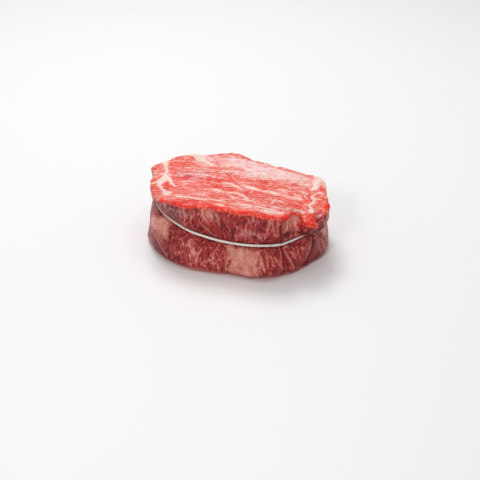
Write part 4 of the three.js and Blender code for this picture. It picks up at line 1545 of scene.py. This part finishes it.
    def columns(self) -> Array:
        """Spreads the profiles evenly along the side, and gives their angles."""
        angles = np.linspace(-0.75 * math.pi, 1.25 * math.pi, 2048)
        ways = np.column_stack([np.cos(angles), np.sin(angles), np.zeros_like(angles)])
        start = np.array([*self.pole, self.core_height])
        edge = self.solid.hits(np.tile(start, (len(ways), 1)), ways)
        run = along(edge)
        count = 4 * self.squares
        return np.interp(np.arange(count) * run[-1] / count, run, angles)

    def profiles(self, angles: Array) -> Array:
        """Feels out a profile in each column, from under the steak to the upper face.

        Args:
            angles: The columns' angles.

        Returns:
            Points by column and ring, each with how far past the rim it lies along its profile.
        """
        _, string_heights = self.string.at(angles)
        pitch = np.linspace(-0.5 * math.pi, 0.5 * math.pi, self.rays)
        rise = np.sin(pitch)[:, None] * np.array([0.0, 0.0, 1.0])
        shares = [np.linspace(0.0, 1.0, count, endpoint=False) for count in self.rings]
        axis = np.array([*self.pole, self.core_height])
        upper = self.rays // 2
        columns = []
        for angle, string_height in zip(angles, string_heights):
            out = np.array([math.cos(angle), math.sin(angle), 0.0])
            wide = (self.solid.hits(axis[None], out[None])[0] - axis) @ out
            start = np.tile(axis + (wide - self.inset) * out, (self.rays, 1))
            felt = self.solid.hits(start, np.cos(pitch)[:, None] * out + rise)
            run = along(felt)
            corner = upper + np.argmax(felt[upper:] @ out + felt[upper:, 2])
            stops = (0.0, *np.interp((self.foot_top, string_height), felt[:corner, 2], run[:corner]))
            stops = (*stops, run[corner], run[-1])
            parts = [a + (b - a) * share for (a, b), share in zip(pairwise(stops), shares)]
            places = np.append(np.concatenate(parts), run[-1])
            points = [np.interp(places, run, felt[:, k]) for k in range(3)]
            columns.append(np.column_stack([*points, places - run[corner]]))
        return np.array(columns)

    def border(self) -> tuple[Numbers, Numbers]:
        """Lists the rows and columns of the net's border anticlockwise from its first corner."""
        n = self.squares
        rise, low, high = np.arange(n), np.zeros(n, int), np.full(n, n)
        return np.concatenate([rise, high, n - rise, low]), np.concatenate([low, rise, high, n - rise])

    def net(self, edge: Array) -> Array:
        """Lays a net of squares inside a closed edge.

        Args:
            edge: Points round the edge, one for each point of the net's border.

        Returns:
            The net's points by row and column.
        """
        count = len(edge)
        line = np.linspace(-1.0, 1.0, self.squares + 1)
        x, y = np.meshgrid(line, line, indexing="ij")
        u = x * np.sqrt(1 - 0.5 * y**2)
        v = y * np.sqrt(1 - 0.5 * x**2)
        turn = (np.arctan2(v, u) + 0.75 * math.pi) % (2 * math.pi)
        border_turn = turn[self.border()]
        border_turn[0] = 0.0
        order = np.arange(count + 1)
        place = np.interp(turn, np.append(border_turn, 2 * math.pi), order)
        closed = np.vstack([edge, edge[:1]])
        rim = np.stack([np.interp(place, order, closed[:, k]) for k in range(2)], axis=-1)
        pole = np.array(self.pole)
        return pole + np.hypot(u, v)[..., None] * (rim - pole)

    def skin(self) -> Skin:
        """Joins the profiles, the net and the underside into one closed skin."""
        wall = blur(self.profiles(self.columns()), 2.6, 0, wrap=True)
        past = wall[..., 3]
        count, rings = past.shape
        level = self.face.at(wall[..., :2].reshape(-1, 2)).reshape(past.shape)
        wall[..., 2] = mix(wall[..., 2], level, smoothstep(past, 2.0, 7.0))
        inner = self.net(wall[:, -1, :2])[1:-1, 1:-1].reshape(-1, 2)
        inner = np.column_stack([inner, self.face.at(inner)])
        middle = np.array([*self.pole, 0.0])
        under = [middle + (wall[:, 0, :3] - middle) * share for share in self.under]
        points = np.vstack([wall[..., :3].reshape(-1, 3), inner, *under, middle])
        self.past = np.append(past.ravel(), np.full(len(points) - past.size, self.inset))

        at = np.arange(past.size).reshape(past.shape)
        after = np.roll(at, -1, axis=0)
        side = np.stack([at[:, :-1], after[:, :-1], after[:, 1:], at[:, 1:]], axis=-1)
        n = self.squares
        squares = np.empty((n + 1, n + 1), int)
        squares[self.border()] = at[:, -1]
        squares[1:-1, 1:-1] = past.size + np.arange((n - 1) ** 2).reshape(n - 1, n - 1)
        top = np.stack([squares[:-1, :-1], squares[1:, :-1], squares[1:, 1:], squares[:-1, 1:]], axis=-1)
        first = past.size + len(inner)
        circles = [at[:, 0], *(first + np.arange(len(under) * count).reshape(-1, count))]
        bottom = [
            np.column_stack([near, np.roll(near, -1), np.roll(far, -1), far])
            for far, near in pairwise(circles)
        ]
        last = circles[-1]
        fan = np.column_stack([np.full(count, len(points) - 1), np.roll(last, -1), last])
        faces = (side.reshape(-1, 4), top.reshape(-1, 4), np.vstack(bottom))
        self.layout = Layout(count, rings, *(len(part) for part in faces))
        return Skin(points, np.vstack(faces), fan)

    def marks(self, points: Array) -> dict[Mark, Array]:
        """Works out the finish's marks at each point.

        Args:
            points: The skin's points.

        Returns:
            One number for each point and mark, or three for the grain.
        """
        degrees = np.degrees(np.arctan2(points[:, 1], points[:, 0]))
        side = (1.0 - smoothstep(self.past, -2.6, -0.6)) * smoothstep(points[:, 2], 0.3, 2.5)
        front = smoothstep(-points[:, 1], 5.0, 25.0)
        face_places = points[:, :2]
        here = np.column_stack([degrees * SIDE_DEGREE, points[:, 2]])
        lap = np.column_stack([360.0 * SIDE_DEGREE * np.sign(degrees), np.zeros(len(points))])

        def combine(read: Callable[[Markings, Array], Array]) -> Array:
            """Reads a mark on the face and on the side, across the line where the side closes."""
            return mix(read(FACE, face_places), np.maximum(read(SIDE, here), read(SIDE, here - lap)), side)

        return {
            Mark.FAT: combine(lambda area, places: area.depth(area.fat, places)),
            Mark.VEIN: combine(lambda area, places: area.depth(area.veins, places)),
            Mark.CREASE: combine(lambda area, places: area.depth(area.creases, places)),
            Mark.PALE_AND_SHEEN: combine(lambda area, places: area.strength(area.pale, places)),
            Mark.RED: combine(lambda area, places: area.redness(places)),
            Mark.PLUM: combine(lambda area, places: area.strength(area.plum, places)),
            Mark.WEB: combine(lambda area, places: area.strength(area.webs, places)),
            Mark.DEEP: combine(lambda area, places: area.strength(area.deep, places)),
            Mark.SIDE: side,
            # The front rim, bright partly as a painted glow, and the lobe painted as bright as it.
            Mark.EDGE: np.maximum(
                front * np.exp(-((self.past / np.where(self.past > 0.0, 5.0, 2.2)) ** 2)),
                combine(lambda area, places: area.strength(area.rims, places)),
            ),
            Mark.GRAIN: self.grain(points),
            Mark.LEAN: self.lean(points, here),
        }

    def grain(self, points: Array) -> Array:
        """Measures each point along and across the fibres of the upper face, which wander."""
        turn = math.radians(self.fibre_turn)
        along_fibres = points @ np.array([math.cos(turn), math.sin(turn), 0.0])
        across = points @ np.array([-math.sin(turn), math.cos(turn), 0.0])
        across += 5.0 * self.noise.at(points, 38.0) + 1.2 * self.noise.at(points, 13.0)
        return np.column_stack([along_fibres, across, points[:, 2]])

    def lean(self, points: Array, here: Array) -> Array:
        """Shifts each point round the side so that points along one leaning fibre line up.

        Args:
            points: The skin's points.
            here: Their places on the side.

        Returns:
            The shifted points.
        """
        shift = sum(lean.weight(here) * (here[:, 1] - lean.middle[1]) for lean in self.leans)
        angles = np.radians(here[:, 0] / SIDE_DEGREE)
        tangent = np.column_stack([-np.sin(angles), np.cos(angles), np.zeros(len(points))])
        return points + shift[:, None] * tangent

    def swell(self, swells: tuple[Swell, ...], places: Array) -> Array:
        """Adds up the relief of some swells."""
        return sum(swell.height * self.noise.at(places, swell.widths) for swell in swells)

    def raised(self, skin: Skin, marks: dict[Mark, Array]) -> Array:
        """Raises the relief.

        Args:
            skin: The smooth skin.
            marks: Its marks.

        Returns:
            The skin's points with the relief.
        """
        points = skin.points
        side = marks[Mark.SIDE]
        out = points - np.array([*self.pole, 0.0])
        out[:, 2] = 0.0
        out /= np.linalg.norm(out, axis=1, keepdims=True) + 1e-9
        angles = np.arctan2(points[:, 1], points[:, 0])
        _, string_heights = self.string.at(angles)
        above_string = points[:, 2] - string_heights
        beside = np.abs(above_string)

        face_lift = self.swell(self.face_swells, marks[Mark.GRAIN])
        face_lift += 0.3 * smoothstep(marks[Mark.FAT], -0.6, 0.6)
        face_lift += sum(heap.weight(points[:, :2]) for heap in self.heaps)
        side_lift = self.swell(self.side_swells, points)
        side_lift += self.swell(self.gathers, points) * np.exp(-beside / 4.0)
        side_lift += 0.4 * smoothstep(marks[Mark.FAT], -0.5, 2.0)
        side_lift *= smoothstep(beside, 1.2, 3.4)
        lift = mix(face_lift, side_lift, side)
        lift -= 0.55 * np.clip(marks[Mark.CREASE] + 0.8, 0.0, 2.5) * mix(0.6, 1.0, side)
        grounded = smoothstep(points[:, 2], 0.2, 3.0)
        moved = points + (lift * grounded)[:, None] * skin.normals()

        here = np.column_stack([np.degrees(angles) * SIDE_DEGREE, points[:, 2]])
        for lobe in self.lobes:
            away = (here - (lobe.angle * SIDE_DEGREE, lobe.height)) / lobe.halves
            inner = np.maximum(self.past, 0.0) / (4.0 + 1.1 * abs(lobe.out))
            stand = lobe.out * np.exp(-(np.sum(away**2, axis=1) ** 1.5) - inner**2)
            moved += (stand * smoothstep(beside, 0.8, 3.0))[:, None] * out
        moved[:, 1] += self.bite.cut(points)
        ragged = self.swell(self.rim_swells, points) * np.exp(-((self.past / 3.0) ** 2))
        moved += ragged[:, None] * (0.8 * out + np.array([0.0, 0.0, 0.5]))
        for lip in self.lips:
            away = np.angle(np.exp(1j * (angles - math.radians(lip.angle)))) / math.radians(lip.half)
            hang = np.exp(-(away**4) - ((above_string - 2.5) / 3.0) ** 2) * side
            moved += hang[:, None] * (lip.out * out - np.array([0.0, 0.0, lip.down]))
        return moved

    def build(self) -> bpy.types.Object:
        """Builds the dressed skin and stands it in for the steak's solid."""
        skin = self.skin()
        marks = self.marks(skin.points)
        skin.points = self.raised(skin, marks)
        piece = make_mesh("steak_meat", skin)
        for mark, values in marks.items():
            kind, field_name = ("FLOAT_VECTOR", "vector") if values.ndim > 1 else ("FLOAT", "value")
            attribute = piece.data.attributes.new(mark.value, kind, "POINT")
            attribute.data.foreach_set(field_name, values.astype(np.float32).ravel())
        self.layout.lay(piece.data, skin)
        piece.data.materials.append(MeatFinish().material())
        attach(piece, BODY)
        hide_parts("steak")
        LOG.info("steak: %d points, %d faces", len(skin.points), len(piece.data.polygons))
        return piece


@dataclass
class ButcherString:
    """Cotton string of three twisted plies, drawn tight round the meat.

    Attributes:
        radius: Half its thickness, in mm.
        pitch: Length of one full twist, in mm.
        plies: How many plies show.
        cleft: How deep the cleft between two plies is, as a share of the radius.
        step: Distance between its sections, in mm.
        sides: Points round a section.
    """

    radius: float = 1.02
    pitch: float = 8.5
    plies: int = 3
    cleft: float = 0.24
    step: float = 0.36
    sides: int = 18

    def __post_init__(self) -> None:
        """Reads where the string runs."""
        self.course = StringCourse()
        self.noise = Noise(21)

    def centreline(self) -> Array:
        """Walks round the string in even steps."""
        angles = np.linspace(-math.pi, math.pi, 1441)
        distances, heights = self.course.at(angles)
        path = np.column_stack([distances * np.cos(angles), distances * np.sin(angles), heights])
        run = along(path)
        self.length = run[-1]
        places = np.linspace(0.0, run[-1], round(run[-1] / self.step), endpoint=False)
        return np.column_stack([np.interp(places, run, path[:, k]) for k in range(3)])

    def build(self) -> bpy.types.Object:
        """Builds the string and stands it in for its solid."""
        path = self.centreline()
        count = len(path)
        forward = np.roll(path, -1, axis=0) - np.roll(path, 1, axis=0)
        forward /= np.linalg.norm(forward, axis=1, keepdims=True)
        out = np.cross(forward, np.array([0.0, 0.0, 1.0]))
        out /= np.linalg.norm(out, axis=1, keepdims=True)
        up = np.cross(out, forward)
        turns = round(self.length / self.pitch)
        twist = np.arange(count)[:, None] * 2 * math.pi * turns / count
        round_section = np.arange(self.sides)[None] * 2 * math.pi / self.sides
        valley = np.abs(np.sin(0.5 * self.plies * (round_section - twist))) ** 4
        thick = self.radius * (1.0 - self.cleft * valley)
        thick *= 1.0 + 0.05 * self.noise.at(path, 3.0)[:, None]
        section = (
            np.cos(round_section)[..., None] * out[:, None] + np.sin(round_section)[..., None] * up[:, None]
        )
        points = (path[:, None] + thick[..., None] * section).reshape(-1, 3)
        at = np.arange(count * self.sides).reshape(count, self.sides)
        on, after = np.roll(at, -1, axis=1), np.roll(at, -1, axis=0)
        faces = np.stack([at, after, np.roll(after, -1, axis=1), on], axis=-1).reshape(-1, 4)
        piece = make_mesh("butcher_string", Skin(points, faces, np.empty((0, 3), int)))
        piece.data.materials.append(StringFinish().material())
        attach(piece, BODY)
        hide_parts("string")
        LOG.info("string: %.0f mm round, %d faces", self.length, len(faces))
        return piece


@dataclass(frozen=True)
class SoftLight:
    """A square soft light that points at the steak.

    Attributes:
        name: Its name.
        place: Where it hangs, in metres.
        size: Its side, in metres.
        power: Its power, in watts.
        colour: Its colour.
    """

    name: str
    place: tuple[float, float, float]
    size: float
    power: float
    colour: Colour = (1.0, 1.0, 1.0)

    def hang(self, aim: Vector) -> None:
        """Hangs the light so that it faces a point."""
        light = bpy.data.lights.new(self.name, "AREA")
        light.shape = "SQUARE"
        light.size = self.size
        light.energy = self.power
        light.color = self.colour
        lamp = bpy.data.objects.new(self.name, light)
        lamp.location = self.place
        lamp.rotation_euler = (aim - Vector(self.place)).to_track_quat("-Z", "Y").to_euler()
        bpy.context.scene.collection.objects.link(lamp)


@dataclass
class Studio:
    """The floor, the light and the camera.

    Attributes:
        floor_half: Half the floor's width, in metres.
        floor_drop: How far the floor lies under the steak, in metres.
        eye: Where the camera stands, in metres.
        pitch: How far it looks down, in degrees.
        lens: Its focal length on a 36 mm sensor, in mm.
        sky: Brightness of the light from all round.
        aim: Where the lights point, in metres.
        lights: The soft lights.
    """

    floor_half: float = 3.0
    floor_drop: float = 0.0001
    eye: tuple[float, float, float] = (0.00182, -0.73135, 0.420)
    pitch: float = 29.8
    lens: float = 76.125
    sky: float = 0.46
    aim: tuple[float, float, float] = (0.0, 0.0, 0.03)
    lights: tuple[SoftLight, ...] = (
        SoftLight("window", (-0.20, 0.65, 1.15), 0.5, 8.7),
        SoftLight("ceiling", (0.15, 0.0, 1.5), 1.2, 4.5),
        SoftLight("front", (-0.45, -0.95, 0.75), 0.25, 3.3),
    )

    def build(self) -> None:
        """Sets the stage."""
        scene = bpy.context.scene
        scene.view_settings.view_transform = "Standard"
        half = self.floor_half / MM
        corners = np.array([(x, y, -self.floor_drop / MM) for x, y in ((-1, -1), (1, -1), (1, 1), (-1, 1))])
        corners[:, :2] *= half
        floor = make_mesh("pale_floor", Skin(corners, np.array([[0, 1, 2, 3]]), np.empty((0, 3), int)))
        floor.data.materials.append(FloorFinish().material())
        world = bpy.data.worlds.new("soft_room")
        world.use_nodes = True
        background = world.node_tree.nodes["Background"]
        background.inputs["Color"].default_value = (1.0, 1.0, 1.0, 1.0)
        background.inputs["Strength"].default_value = self.sky
        scene.world = world
        for light in self.lights:
            light.hang(Vector(self.aim))
        camera = bpy.data.objects.new("camera", bpy.data.cameras.new("camera"))
        camera.location = self.eye
        camera.rotation_euler = (math.radians(90.0 - self.pitch), 0.0, 0.0)
        camera.data.lens = self.lens
        camera.data.sensor_width = 36.0
        camera.data.clip_start = 0.01
        scene.collection.objects.link(camera)
        scene.camera = camera
        LOG.info("studio: %d lights, lens %.1f mm", len(self.lights), self.lens)


def main() -> None:
    """Builds the studio, the steak and its string."""
    logging.basicConfig(level=logging.INFO, format="%(name)s: %(message)s")
    Studio().build()
    Steak().build()
    ButcherString().build()


if __name__ == "__main__":
    main()
